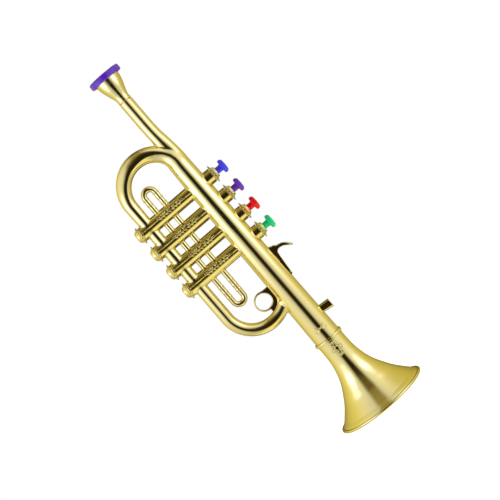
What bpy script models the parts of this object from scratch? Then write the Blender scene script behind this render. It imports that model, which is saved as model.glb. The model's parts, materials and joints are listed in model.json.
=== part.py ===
# Toy trumpet with four sprung keys, standing on its bell
# Lengths are metres, +Z runs up the main tube, keys point to +X, the photographed side faces -Y

import math

import bmesh
import bpy
from mathutils import Vector

# Clearances shared by every joint between two pieces
fit_gap = 0.0003
cut_overrun = 0.004
merge_distance = 0.000001

# Walls of the moulded pieces
shell_wall = 0.0016
bell_wall = 0.0014

# Bell, from its rim at height zero to the band at its neck
bell_height = 0.0713
bell_rim_radius = 0.0436
bell_neck_radius = 0.0126
bell_lip_radius = 0.0010
band_width = 0.0026
band_radius = 0.0139
spigot_length = 0.0115
spigot_wall = 0.0014
bell_segments = 36

# Bell outline as height shares of bell_height and radius shares between neck and rim
bell_outline_shares = (
    (0.050, 0.917), (0.096, 0.792), (0.141, 0.694), (0.203, 0.573), (0.264, 0.466), (0.327, 0.374),
    (0.388, 0.289), (0.449, 0.213), (0.511, 0.150), (0.572, 0.100), (0.633, 0.063), (0.695, 0.032),
    (0.756, 0.016), (0.850, 0.004),
)

# Main tube, a long cone between the bell's neck and the front bow
tube_start_radius = 0.01245
tube_bow_radius = 0.00945
rear_bow_offset = 0.0680
rear_run = 0.0401
front_run = 0.0236
tube_sides = 20

# Leadpipe and the flare where it grows out of the main tube
leadpipe_radius = 0.0059
leadpipe_length = 0.0258
flare_length = 0.0466
flare_lift = 0.0011

# Flare as shares of its length, of the growth from leadpipe to tube radius, and of its lift
flare_shares = (
    (0.17, 0.92, 0.25), (0.31, 0.62, 0.85), (0.45, 0.36, 1.00), (0.59, 0.20, 0.85), (0.73, 0.09, 0.45),
)

# Bow: a half circle at each end of the bottom run
bow_radius = 0.0277
bow_tube_radius = 0.0071
run_tube_radius = 0.0057
bow_sides = 14
bow_steps = 10

# Radius shares of the front bow's first eighth, between its own radius and the main tube's
bow_neck_shares = (0.95, 0.62, 0.30, 0.10)

# Valves, counted from the mouthpiece
valve_count = 4
valve_pitch = 0.0208
casing_radius = 0.0066
casing_bore = 0.0047
casing_rise = 0.0045
casing_drop = 0.0078
casing_sides = 16

# Valve seat, port and lower ledge inside each casing
seat_margin = 0.0002
port_radius = 0.0032
ledge_rise = 0.0113
outlet_radius = 0.0040

# Slide loop that runs through the casings
slide_rise = 0.0188
slide_half_spacing = 0.0053
slide_radius = 0.0026
slide_front_reach = 0.0213
slide_rear_reach = 0.0328
slide_sides = 8
slide_steps = 6

# Wind chamber and bell passage in the halves
bulkhead_thickness = 0.0030
bulkhead_offset = 0.0204
bow_plug_angle = math.radians(38.0)
rear_bow_end_angle = math.radians(58.0)

# Mouthpiece
cup_length = 0.0233
cup_shoulder_radius = 0.0116
cup_throat_radius = 0.0018
cup_bowl_radius = 0.0090
cup_bowl_depth = 0.0150
shank_length = 0.0140
shank_radius = 0.0041
shank_bore = 0.0024
collar_radius = 0.0063
collar_width = 0.0011
rim_thickness = 0.0057
rim_radius = 0.0155
rim_hole_radius = 0.0098
rim_round = 0.0011
rim_recess = 0.0022
turned_segments = 24

# Cup outline as shares of cup_length and of the growth from leadpipe to shoulder radius
cup_outline_shares = (
    (0.15, 0.02), (0.29, 0.09), (0.43, 0.25), (0.56, 0.48), (0.70, 0.71), (0.84, 0.89), (0.95, 0.98),
)

# Top cap of a casing
top_cap_radius = 0.0085
top_cap_crown_radius = 0.0045
top_cap_height = 0.0048
top_cap_edge = 0.0005
top_cap_edge_rise = 0.0012
top_cap_skirt = 0.0042
cap_teeth = 10
cap_tooth_depth = 0.0006

# Bottom cap of a casing
bottom_cap_drop = 0.0060
bottom_cap_edge_drop = 0.0016
bottom_cap_boss_radius = 0.0053
bottom_cap_face_radius = 0.0036
bottom_cap_spigot = 0.0022

# Key: a domed button on a stem
key_travel = 0.0040
key_radius = 0.0063
key_edge_height = 0.0038
key_dome = 0.0009
key_round = 0.0010
key_fillet = 0.0006
stem_radius = 0.0027
rod_radius = 0.0016
key_segments = 20

# Valve pad, return spring, reed block and reed
pad_radius = 0.0040
pad_thickness = 0.0024
pad_socket = 0.0017
spring_space = 0.0125
spring_radius = 0.0031
spring_wire = 0.00035
spring_turns = 4
spring_turn_points = 7
block_collar = 0.0030
block_flat = 0.0020
block_bore = 0.0017
window_width = 0.0020
reed_width = 0.0034
reed_thickness = 0.0004
inner_segments = 12

# Hook for the little finger, on the keys' side of the tube
hook_standoff = 0.0120
hook_base_length = 0.0287
hook_width = 0.0070
hook_base_height = 0.0050
hook_toe_height = 0.0016
hook_height = 0.0174
hook_thickness = 0.0024
hook_lean = 0.0078
peg_radius = 0.0015

# Middle line of the finger rest as shares of its height and of its lean to the bell
hook_shares = (
    (0.00, -0.12), (0.10, 0.14), (0.25, 0.28), (0.45, 0.34), (0.65, 0.40), (0.80, 0.54), (0.91, 0.75), (1.00, 1.00),
)

# Finger ring with its web, in the rear bow's corner
ring_radius = 0.0088
ring_hole_radius = 0.0074
ring_width = 0.0044
ring_offset = 0.0094
ring_standoff = 0.0013
web_thickness = 0.0024
tongue_length = 0.0070
tongue_thickness = 0.0014
ring_segments = 24

# Short post near the bell
post_offset = 0.0214
post_base_radius = 0.0037
post_top_radius = 0.0040
post_height = 0.0097
post_lean = 0.0010

# Heights along the tube that follow from the sizes above
tube_start = bell_height + band_width + fit_gap
rear_bow_height = tube_start + rear_bow_offset
last_valve_height = rear_bow_height + rear_run
first_valve_height = last_valve_height + (valve_count - 1) * valve_pitch
front_bow_height = first_valve_height + front_run
flare_end = front_bow_height + flare_length
leadpipe_end = flare_end + leadpipe_length
cup_base = leadpipe_end + fit_gap
cup_top = cup_base + cup_length
overall_height = cup_top + rim_thickness
bulkhead_height = last_valve_height - bulkhead_offset
valve_heights = [first_valve_height - i * valve_pitch for i in range(valve_count)]


def tube_radius(height):
    # Outer radius of the main tube's cone
    share = (height - tube_start) / (front_bow_height - tube_start)
    return tube_start_radius + (tube_bow_radius - tube_start_radius) * share


# Depths below the tube's axis that follow from the sizes above
run_depth = 2 * bow_radius
slide_depth = run_depth - slide_rise
casing_bottom = run_depth + casing_drop
casing_top = tube_radius(last_valve_height) + casing_rise
seat_depth = tube_radius(last_valve_height) + seat_margin
ledge_depth = run_depth - ledge_rise
pad_top = seat_depth + fit_gap
pad_bottom = pad_top + pad_thickness
block_top = pad_bottom + spring_space
block_bottom = ledge_depth - fit_gap
bottom_reach = casing_bottom + bottom_cap_drop
crown_height = casing_top + top_cap_height
button_under = crown_height + fit_gap + key_travel + key_fillet
finger_ring_height = rear_bow_height - ring_offset
finger_ring_depth = tube_radius(finger_ring_height) + ring_standoff + ring_radius
hook_top = last_valve_height - casing_radius - hook_standoff
post_base_height = tube_start + post_offset

# The main tube's axis lies off centre, so that the origin is in the middle of the whole outline
tube_axis_x = (bottom_reach - bell_rim_radius) / 2


# Helpers that turn profiles and paths into closed meshes
def material(name, colour, roughness, metallic):
    finish = bpy.data.materials.new(name)
    finish.use_nodes = True
    shader = finish.node_tree.nodes["Principled BSDF"]
    shader.inputs["Base Color"].default_value = (*colour, 1.0)
    shader.inputs["Roughness"].default_value = roughness
    shader.inputs["Metallic"].default_value = metallic
    finish.diffuse_color = (*colour, 1.0)
    return finish


def place(name, mesh_data, finish, parent):
    # A named object with smooth faces and sharp edges where it turns a corner
    mesh_data.materials.clear()
    mesh_data.materials.append(finish)
    mesh_data.shade_smooth()
    mesh_data.set_sharp_from_angle(angle=math.radians(35.0))
    piece = bpy.data.objects.new(name, mesh_data)
    bpy.context.scene.collection.objects.link(piece)
    piece.parent = parent
    return piece


def finished_mesh(name, shape):
    bmesh.ops.recalc_face_normals(shape, faces=shape.faces)
    mesh_data = bpy.data.meshes.new(name)
    shape.to_mesh(mesh_data)
    shape.free()
    return mesh_data


def turned(name, profile, segments, along="z", teeth=None):
    # Turns a list of (radius, distance) points about an axis; a radius of zero closes an end
    shape = bmesh.new()
    rings = []
    for index, (radius, distance) in enumerate(profile):
        ring = []
        for step in range(1 if radius == 0 else segments):
            angle = math.tau * step / segments
            reach = radius
            if teeth and index in teeth and step % 2:
                reach = radius - cap_tooth_depth
            across, up = reach * math.cos(angle), reach * math.sin(angle)
            if along == "z":
                ring.append(shape.verts.new((across, up, distance)))
            else:
                ring.append(shape.verts.new((distance, up, across)))
        rings.append(ring)
    open_ended = len(rings[0]) > 1 and len(rings[-1]) > 1
    pairs = list(zip(rings, rings[1:]))
    if open_ended:
        pairs.append((rings[-1], rings[0]))
    for low, high in pairs:
        for step in range(segments):
            after = (step + 1) % segments
            corners = [low[step % len(low)], low[after % len(low)], high[after % len(high)], high[step % len(high)]]
            shape.faces.new(list(dict.fromkeys(corners)))
    return finished_mesh(name, shape)


def swept(name, path, radii, sides, closed=False):
    # A round tube along a path of (u, height) points in the middle plane
    shape = bmesh.new()
    rings = []
    count = len(path)
    for index, (u, height) in enumerate(path):
        before = path[(index - 1) % count] if closed else path[max(index - 1, 0)]
        after = path[(index + 1) % count] if closed else path[min(index + 1, count - 1)]
        along = Vector((after[0] - before[0], 0.0, after[1] - before[1])).normalized()
        across = Vector((-along.z, 0.0, along.x))
        ring = []
        for step in range(sides):
            angle = math.tau * (step + 0.5) / sides
            offset = across * math.cos(angle) + Vector((0.0, 1.0, 0.0)) * math.sin(angle)
            ring.append(shape.verts.new(Vector((u, 0.0, height)) + offset * radii[index]))
        rings.append(ring)
    pairs = list(zip(rings, rings[1:]))
    if closed:
        pairs.append((rings[-1], rings[0]))
    for low, high in pairs:
        for step in range(sides):
            after = (step + 1) % sides
            shape.faces.new((low[step], low[after], high[after], high[step]))
    if not closed:
        shape.faces.new(rings[0])
        shape.faces.new(list(reversed(rings[-1])))
    return finished_mesh(name, shape)


def slab(name, outline, low_y, high_y):
    # A flat plate whose outline is a list of (u, height) points
    shape = bmesh.new()
    front = [shape.verts.new((u, low_y, height)) for u, height in outline]
    back = [shape.verts.new((u, high_y, height)) for u, height in outline]
    shape.faces.new(front)
    shape.faces.new(list(reversed(back)))
    for step in range(len(outline)):
        after = (step + 1) % len(outline)
        shape.faces.new((front[step], back[step], back[after], front[after]))
    return finished_mesh(name, shape)


def block(name, low, high):
    outline = [(low[0], low[2]), (high[0], low[2]), (high[0], high[2]), (low[0], high[2])]
    return slab(name, outline, low[1], high[1])


def cylinder_x(name, radius, low_u, high_u, height, sides):
    # A cylinder along the keys' direction at a height on the tube
    mesh_data = turned(name, [(0.0, low_u), (radius, low_u), (radius, high_u), (0.0, high_u)], sides, "x")
    for vert in mesh_data.vertices:
        vert.co.z += height
    return mesh_data


def carved(name, base, joined=(), cut=()):
    # Joins the first meshes, cuts the second ones away, and returns the result as a mesh
    scene = bpy.context.scene
    body = bpy.data.objects.new(name, base)
    scene.collection.objects.link(body)
    helpers = [body]
    groups = []
    for operation, meshes in (("UNION", joined), ("DIFFERENCE", cut)):
        if not meshes:
            continue
        group = bpy.data.collections.new(operation)
        groups.append(group)
        for mesh_data in meshes:
            helper = bpy.data.objects.new("cutter", mesh_data)
            helper.hide_render = True
            helper.display_type = "WIRE"
            group.objects.link(helper)
            helpers.append(helper)
        modifier = body.modifiers.new(operation, "BOOLEAN")
        modifier.operation = operation
        modifier.solver = "EXACT"
        modifier.operand_type = "COLLECTION"
        modifier.collection = group
    view = bpy.context.evaluated_depsgraph_get()
    shape = bmesh.new()
    shape.from_object(body, view)
    bmesh.ops.remove_doubles(shape, verts=shape.verts, dist=merge_distance)
    bmesh.ops.dissolve_degenerate(shape, edges=shape.edges, dist=merge_distance)
    result = bpy.data.meshes.new(name)
    shape.to_mesh(result)
    shape.free()
    for helper in helpers:
        bpy.data.objects.remove(helper, do_unlink=True)
    for group in groups:
        bpy.data.collections.remove(group)
    return result


# Centre lines and radii of the tubes
def main_tube_line(growth):
    # From the bell's neck to the mouthpiece, all radii changed by growth
    path = [(0.0, tube_start), (0.0, front_bow_height)]
    radii = [tube_start_radius + growth, tube_bow_radius + growth]
    for length_share, growth_share, lift_share in flare_shares:
        path.append((flare_lift * lift_share, front_bow_height + flare_length * length_share))
        radii.append(leadpipe_radius + (tube_bow_radius - leadpipe_radius) * growth_share + growth)
    path += [(0.0, flare_end), (0.0, leadpipe_end)]
    radii += [leadpipe_radius + growth, leadpipe_radius + growth]
    return path, radii


def bow_point(centre_height, angle, side):
    # Angle zero is the bow's far end, a right angle is the main tube's axis
    return (bow_radius * math.sin(angle) - bow_radius, centre_height + side * bow_radius * math.cos(angle))


def bow_line(growth, start_angle, end_angle):
    # Round the front bow, along the bottom run and round the rear bow
    path, radii = [], []
    for step in range(bow_steps + 1):
        share = step / bow_steps
        angle = math.pi / 2 - math.pi * share
        neck = 0.0
        if step < len(bow_neck_shares):
            neck = bow_neck_shares[step]
        bend = max(0.0, 2 * share - 1)
        radius = bow_tube_radius + (tube_bow_radius - bow_tube_radius) * neck
        radius += (run_tube_radius - bow_tube_radius) * bend * 0.5
        if angle <= start_angle:
            path.append(bow_point(front_bow_height, angle, 1))
            radii.append(radius + growth)
    path.append((-run_depth, first_valve_height))
    radii.append(run_tube_radius + growth)
    sweep_angle = end_angle + math.pi / 2
    for step in range(bow_steps):
        angle = -math.pi / 2 + sweep_angle * step / (bow_steps - 1)
        path.append(bow_point(rear_bow_height, angle, -1))
        radii.append(run_tube_radius + growth)
    return path, radii


def slide_line():
    # A closed loop of two bars and two half circles
    front = first_valve_height + slide_front_reach
    rear = last_valve_height - slide_rear_reach
    path = []
    for step in range(slide_steps + 1):
        angle = math.pi * step / slide_steps
        path.append((-slide_depth + slide_half_spacing * math.cos(angle), front + slide_half_spacing * math.sin(angle)))
    for step in range(slide_steps + 1):
        angle = math.pi * (1 + step / slide_steps)
        path.append((-slide_depth + slide_half_spacing * math.cos(angle), rear + slide_half_spacing * math.sin(angle)))
    return path


# The two halves of the body
def tube_outside(growth):
    path, radii = main_tube_line(growth)
    return swept("tube_outside", path, radii, tube_sides)


def bow_outside(growth):
    path, radii = bow_line(growth, math.pi / 2, rear_bow_end_angle)
    return swept("bow_outside", path, radii, bow_sides)


def body_outside():
    joined = [bow_outside(0.0)]
    loop = slide_line()
    joined.append(swept("slide_loop", loop, [slide_radius] * len(loop), slide_sides, closed=True))
    for height in valve_heights:
        joined.append(cylinder_x("casing", casing_radius, -casing_bottom, casing_top, height, casing_sides))
    spigot_low = tube_start - fit_gap - spigot_length
    spigot_radius = bell_neck_radius - bell_wall - fit_gap
    path = [(0.0, spigot_low), (0.0, tube_start + shell_wall)]
    joined.append(swept("spigot", path, [spigot_radius] * 2, tube_sides))
    return carved("body_outside", tube_outside(0.0), joined=joined)


def wind_chamber():
    # From the bulkhead to the leadpipe's open end
    path, radii = main_tube_line(-shell_wall)
    low = bulkhead_height + bulkhead_thickness / 2
    path[0] = (0.0, low)
    radii[0] = tube_radius(low) - shell_wall
    path[-1] = (0.0, leadpipe_end + cut_overrun)
    return swept("wind_chamber", path, radii, tube_sides)


def bell_passage():
    # From the bulkhead down through the spigot
    high = bulkhead_height - bulkhead_thickness / 2
    spigot_bore = bell_neck_radius - bell_wall - fit_gap - spigot_wall
    low = tube_start - fit_gap - spigot_length - cut_overrun
    path = [(0.0, low), (0.0, tube_start + shell_wall), (0.0, tube_start + 4 * shell_wall), (0.0, high)]
    radii = [spigot_bore, spigot_bore, tube_radius(path[2][1]) - shell_wall, tube_radius(high) - shell_wall]
    return swept("bell_passage", path, radii, tube_sides)


def bow_passage():
    path, radii = bow_line(-shell_wall, bow_plug_angle, rear_bow_end_angle)
    return swept("bow_passage", path, radii, bow_sides)


def valve_bore(height):
    # One stepped bore: guide bore above, port in the tube's floor, lower bore, ledge and outlet
    bottom = -casing_bottom - cut_overrun
    top = casing_top + cut_overrun
    profile = [(0.0, bottom), (outlet_radius, bottom), (outlet_radius, -ledge_depth), (casing_bore, -ledge_depth)]
    profile += [(casing_bore, -seat_depth), (port_radius, -seat_depth), (port_radius, 0.0), (casing_bore, 0.0)]
    profile += [(casing_bore, top), (0.0, top)]
    bore = turned("valve_bore", profile, casing_sides, "x")
    for vert in bore.vertices:
        vert.co.z += height
    return bore


def fixing_holes():
    # Holes for the pegs of the hook and the post, and the slot for the finger ring's tongue
    reach = tube_start_radius + shell_wall
    hole_radius = peg_radius + fit_gap
    holes = []
    for height in (hook_peg_height, post_base_height):
        holes.append(cylinder_x("peg_hole", hole_radius, 0.0, reach, height, inner_segments))
    half_length = tongue_length / 2 + fit_gap
    half_thickness = tongue_thickness / 2 + fit_gap
    low = (-reach, -half_thickness, tongue_height - half_length)
    high = (0.0, half_thickness, tongue_height + half_length)
    holes.append(block("tongue_slot", low, high))
    return holes


def body_halves():
    # The body is split on the middle plane into the half seen in front and the half behind it
    passages = [wind_chamber(), bell_passage(), bow_passage()]
    whole = carved("body", body_outside(), cut=passages)
    whole = carved("body", whole, cut=fixing_holes())
    whole = carved("body", whole, cut=[valve_bore(height) for height in valve_heights])
    half_gap = fit_gap / 2
    far = bottom_reach + bell_rim_radius
    low, high = -cut_overrun, overall_height
    behind = block("behind", (-far, -half_gap, low), (far, far, high))
    in_front = block("in_front", (-far, -far, low), (far, half_gap, high))
    return {
        "front_shell": carved("front_shell", whole.copy(), cut=[behind]),
        "rear_shell": carved("rear_shell", whole, cut=[in_front]),
    }


# Pieces turned about the main tube's axis
def bell_mesh():
    # Outer outline from band to rim, then the inner outline back up to the socket
    outer = [(bell_neck_radius, bell_height)]
    for height_share, radius_share in reversed(bell_outline_shares):
        radius = bell_neck_radius + (bell_rim_radius - bell_neck_radius) * radius_share
        outer.append((radius, bell_height * height_share))
    inner = []
    for index in range(1, len(outer) - 1):
        before, here, after = outer[index - 1], outer[index], outer[index + 1]
        along = Vector((after[0] - before[0], after[1] - before[1])).normalized()
        inner.append((here[0] + along[1] * bell_wall, here[1] - along[0] * bell_wall))
    rim_inner = bell_rim_radius - 2 * bell_lip_radius
    socket_radius = bell_neck_radius - bell_wall
    socket_low = tube_start - fit_gap - spigot_length - fit_gap
    profile = [(socket_radius, tube_start - fit_gap), (band_radius, tube_start - fit_gap)]
    profile += [(band_radius, bell_height)] + outer
    profile += [(bell_rim_radius, bell_lip_radius), (bell_rim_radius - bell_lip_radius / 2, 0.0), (rim_inner, 0.0)]
    profile += [point for point in reversed(inner) if point[0] > socket_radius and point[1] > bell_lip_radius]
    profile += [(socket_radius, socket_low)]
    return turned("bell", profile, bell_segments)


def cup_mesh():
    # Shank in the leadpipe, collar, flared cup and the spigot that carries the rim
    bowl_top = cup_top + rim_recess - fit_gap
    bowl_floor = bowl_top - cup_bowl_depth
    spigot_radius = (rim_hole_radius + rim_radius) / 2 - fit_gap
    spigot_radius = min(spigot_radius, cup_shoulder_radius - rim_round / 2)
    profile = [(shank_bore, cup_base - shank_length), (shank_radius, cup_base - shank_length)]
    profile += [(shank_radius, cup_base), (collar_radius, cup_base), (collar_radius, cup_base + collar_width)]
    profile += [(leadpipe_radius, cup_base + collar_width)]
    for length_share, growth_share in cup_outline_shares:
        radius = leadpipe_radius + (cup_shoulder_radius - leadpipe_radius) * growth_share
        profile.append((radius, cup_base + cup_length * length_share))
    profile += [(cup_shoulder_radius, cup_top - fit_gap), (spigot_radius, cup_top - fit_gap)]
    profile += [(spigot_radius, bowl_top), (cup_bowl_radius, bowl_top)]
    for step in range(1, 4):
        angle = math.pi / 2 * step / 4
        radius = cup_throat_radius + (cup_bowl_radius - cup_throat_radius) * math.cos(angle)
        profile.append((radius, bowl_top - cup_bowl_depth * math.sin(angle)))
    profile += [(cup_throat_radius, bowl_floor), (shank_bore, cup_base)]
    return turned("mouthpiece_cup", profile, turned_segments)


def rim_mesh():
    # Ring with rounded edges and a recess for the cup's spigot
    recess_radius = min((rim_hole_radius + rim_radius) / 2 - fit_gap, cup_shoulder_radius - rim_round / 2) + fit_gap
    low, high = cup_top, overall_height
    profile = [(recess_radius, low), (rim_radius - rim_round, low), (rim_radius, low + rim_round)]
    profile += [(rim_radius, high - rim_round), (rim_radius - rim_round / 3, high - rim_round / 3)]
    profile += [(rim_radius - rim_round, high), (rim_hole_radius + rim_round, high)]
    profile += [(rim_hole_radius, high - rim_round), (rim_hole_radius, low + rim_recess)]
    profile += [(recess_radius, low + rim_recess)]
    return turned("mouthpiece_rim", profile, turned_segments)


# Pieces of one valve, turned about its own axis with u as the distance
def top_cap_mesh():
    seat = casing_top + fit_gap
    edge_low = casing_top + top_cap_edge_rise
    guide = stem_radius + fit_gap
    skirt_radius = casing_bore - fit_gap
    profile = [(guide, casing_top - top_cap_skirt), (skirt_radius, casing_top - top_cap_skirt)]
    profile += [(skirt_radius, seat), (casing_radius, seat), (top_cap_radius, edge_low)]
    profile += [(top_cap_radius, edge_low + top_cap_edge), (top_cap_crown_radius, crown_height)]
    profile += [(guide, crown_height)]
    return turned("top_cap", profile, 2 * cap_teeth, "x", teeth=(4, 5))


def bottom_cap_mesh():
    seat = -casing_bottom - fit_gap
    edge = -casing_bottom - bottom_cap_edge_drop
    boss_drop = (bottom_cap_edge_drop + bottom_cap_drop) / 2
    spigot_radius = outlet_radius - fit_gap
    profile = [(0.0, -casing_bottom + bottom_cap_spigot), (spigot_radius, -casing_bottom + bottom_cap_spigot)]
    profile += [(spigot_radius, seat), (casing_radius, seat), (top_cap_radius, edge)]
    profile += [(top_cap_radius, edge - top_cap_edge), (bottom_cap_boss_radius, -casing_bottom - boss_drop)]
    profile += [(bottom_cap_boss_radius, -bottom_reach + key_round), (bottom_cap_face_radius, -bottom_reach)]
    profile += [(0.0, -bottom_reach)]
    return turned("bottom_cap", profile, 2 * cap_teeth, "x", teeth=(4, 5))


def key_mesh():
    # Button, fillet, guided stem and the thinner rod that holds the pad
    edge_top = button_under + key_edge_height
    rod_end = -pad_top - pad_socket + fit_gap
    stem_low = casing_top - top_cap_skirt
    profile = [(0.0, rod_end), (rod_radius, rod_end), (rod_radius, stem_low - key_travel)]
    profile += [(stem_radius, stem_low), (stem_radius, button_under - key_fillet)]
    profile += [(stem_radius + key_fillet, button_under), (key_radius - key_round, button_under)]
    profile += [(key_radius, button_under + key_round), (key_radius, edge_top - key_round)]
    profile += [(key_radius - key_round / 3, edge_top - key_round / 3), (key_radius - key_round, edge_top)]
    profile += [(key_radius / 2, edge_top + 0.75 * key_dome), (0.0, edge_top + key_dome)]
    return turned("key", profile, key_segments, "x")


def pad_mesh():
    # Soft disc with a blind socket for the rod
    socket_radius = rod_radius + fit_gap
    profile = [(0.0, -pad_top - pad_socket), (socket_radius, -pad_top - pad_socket), (socket_radius, -pad_top)]
    profile += [(pad_radius, -pad_top), (pad_radius, -pad_bottom), (0.0, -pad_bottom)]
    return turned("pad", profile, inner_segments, "x")


def spring_mesh():
    # An open coil between the pad and the reed block
    shape = bmesh.new()
    steps = spring_turns * spring_turn_points
    high = -pad_bottom - fit_gap - spring_wire
    low = -block_top + fit_gap + spring_wire
    wire_sides = 5
    rings = []
    for step in range(steps + 1):
        turn = math.tau * step / spring_turn_points
        out = Vector((0.0, math.cos(turn), math.sin(turn)))
        centre = out * spring_radius + Vector((high + (low - high) * step / steps, 0.0, 0.0))
        ring = []
        for side in range(wire_sides):
            angle = math.tau * side / wire_sides
            offset = out * math.cos(angle) + Vector((1.0, 0.0, 0.0)) * math.sin(angle)
            ring.append(shape.verts.new(centre + offset * spring_wire))
        rings.append(ring)
    for low_ring, high_ring in zip(rings, rings[1:]):
        for side in range(wire_sides):
            after = (side + 1) % wire_sides
            shape.faces.new((low_ring[side], low_ring[after], high_ring[after], high_ring[side]))
    shape.faces.new(rings[0])
    shape.faces.new(list(reversed(rings[-1])))
    return finished_mesh("spring", shape)


def block_mesh():
    # Plug in the lower bore: air enters its bore and leaves through a window under the reed
    radius = casing_bore - fit_gap
    length = block_bottom - block_top
    flat_top = -block_top - block_collar
    window_low = -block_bottom + 0.25 * length
    plug = turned(
        "plug", [(0.0, -block_bottom), (radius, -block_bottom), (radius, -block_top), (0.0, -block_top)],
        inner_segments, "x",
    )
    bore_profile = [(0.0, window_low), (block_bore, window_low), (block_bore, -block_top + cut_overrun)]
    bore_profile += [(0.0, -block_top + cut_overrun)]
    bore = turned("bore", bore_profile, inner_segments, "x")
    flat_low = (-block_bottom - cut_overrun, -2 * radius, -2 * radius)
    flat = block("flat", flat_low, (flat_top, -block_flat, 2 * radius))
    half = window_width / 2
    window_top = flat_top - 0.1 * length
    window = block("window", (window_low, -radius, -half), (window_top, 0.0, half))
    return carved("reed_block", plug, cut=[bore, flat, window])


def reed_mesh():
    # Thin brass tongue over the window
    length = block_bottom - block_top
    low_u = -block_bottom + 0.1 * length
    high_u = -block_top - block_collar - fit_gap
    near = -block_flat - fit_gap
    half = reed_width / 2
    return block("reed", (low_u, near - reed_thickness, -half), (high_u, near, half))


# Pieces fixed outside the halves
hook_peg_height = hook_top - hook_base_length / 2
tongue_height = finger_ring_height + ring_offset - ring_radius + fit_gap


def hook_mesh():
    # Saddle base that tapers to the bell, with a curled finger rest at its other end
    crown = tube_radius(hook_top)
    low_end = hook_top - hook_base_length
    rest = [(crown + hook_height * rise, hook_top - hook_lean * lean) for rise, lean in hook_shares]
    inner, outer = [], []
    for index, here in enumerate(rest):
        before = rest[max(index - 1, 0)]
        after = rest[min(index + 1, len(rest) - 1)]
        along = Vector((after[0] - before[0], after[1] - before[1])).normalized()
        half = hook_thickness / 2
        if index == len(rest) - 1:
            half = hook_thickness / 3
        inner.append((here[0] + along[1] * half, here[1] - along[0] * half))
        outer.append((here[0] - along[1] * half, here[1] + along[0] * half))
    heel = crown + hook_base_height
    inner = [point for point in inner if point[0] > heel + hook_thickness / 3]
    outline = [(crown / 2, low_end), (crown + hook_toe_height, low_end)]
    outline += [(heel, inner[0][1] - hook_thickness)] + inner + list(reversed(outer))
    outline.append((crown / 2, outer[0][1]))
    half_width = hook_width / 2
    base = slab("pinky_hook", outline, -half_width, half_width)
    saddled = carved("pinky_hook", base, cut=[tube_outside(fit_gap)])
    peg_low = tube_radius(hook_peg_height) - shell_wall
    peg = cylinder_x("peg", peg_radius, peg_low, crown + hook_toe_height / 2, hook_peg_height, inner_segments)
    return carved("pinky_hook", saddled, joined=[peg])


def finger_ring_mesh():
    # Ring, flat web in the corner between tube and bow, and a tongue in the tube's wall
    u, height = -finger_ring_depth, finger_ring_height
    half_width, half_web = ring_width / 2, web_thickness / 2
    profile = [(ring_hole_radius, -half_width), (ring_radius, -half_width)]
    profile += [(ring_radius, half_width), (ring_hole_radius, half_width)]
    band = turned("finger_ring", profile, ring_segments)
    hole = turned(
        "hole", [(0.0, -ring_width), (ring_hole_radius, -ring_width), (ring_hole_radius, ring_width), (0.0, ring_width)],
        ring_segments,
    )
    for mesh_data in (band, hole):
        for vert in mesh_data.vertices:
            vert.co = Vector((vert.co.x + u, vert.co.z, vert.co.y + height))
        mesh_data.flip_normals()
    middle = (ring_radius + ring_hole_radius) / 2
    angle_low = math.asin(max(-1.0, min(1.0, (bow_radius + u + ring_standoff) / bow_radius)))
    angle_high = math.asin(max(-1.0, min(1.0, (bow_radius - tube_radius(height)) / bow_radius)))
    outline = [(0.0, height + middle), (u, height + middle), (u, height)]
    outline += [bow_point(rear_bow_height, angle_low, -1), bow_point(rear_bow_height, angle_high, -1)]
    outline += [(0.0, height - middle)]
    web = slab("web", outline, -half_web, half_web)
    ring = carved("finger_ring", band, joined=[web])
    ring = carved("finger_ring", ring, cut=[hole, tube_outside(fit_gap), bow_outside(fit_gap)])
    low = (-tube_radius(height) - shell_wall, -tongue_thickness / 2, tongue_height - tongue_length / 2)
    high = (-tube_radius(height) + shell_wall, tongue_thickness / 2, tongue_height + tongue_length / 2)
    return carved("finger_ring", ring, joined=[block("tongue", low, high)])


def post_mesh():
    # Short round stub on a saddle, leaning a little to the bell
    crown = tube_radius(post_base_height)
    top = crown + post_height
    profile = [(0.0, crown / 2), (post_base_radius, crown / 2), (post_base_radius, crown)]
    profile += [(post_top_radius, top), (0.0, top)]
    stub = turned("lyre_post", profile, casing_sides, "x")
    for vert in stub.vertices:
        lean = max(0.0, (vert.co.x - crown) / post_height)
        vert.co.z += post_base_height - post_lean * lean
    saddled = carved("lyre_post", stub, cut=[tube_outside(fit_gap)])
    peg = cylinder_x("peg", peg_radius, crown - shell_wall, crown + shell_wall, post_base_height, inner_segments)
    return carved("lyre_post", saddled, joined=[peg])


def empty(name, location, parent=None):
    holder = bpy.data.objects.new(name, None)
    holder.location = location
    holder.parent = parent
    bpy.context.scene.collection.objects.link(holder)
    return holder


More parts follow.
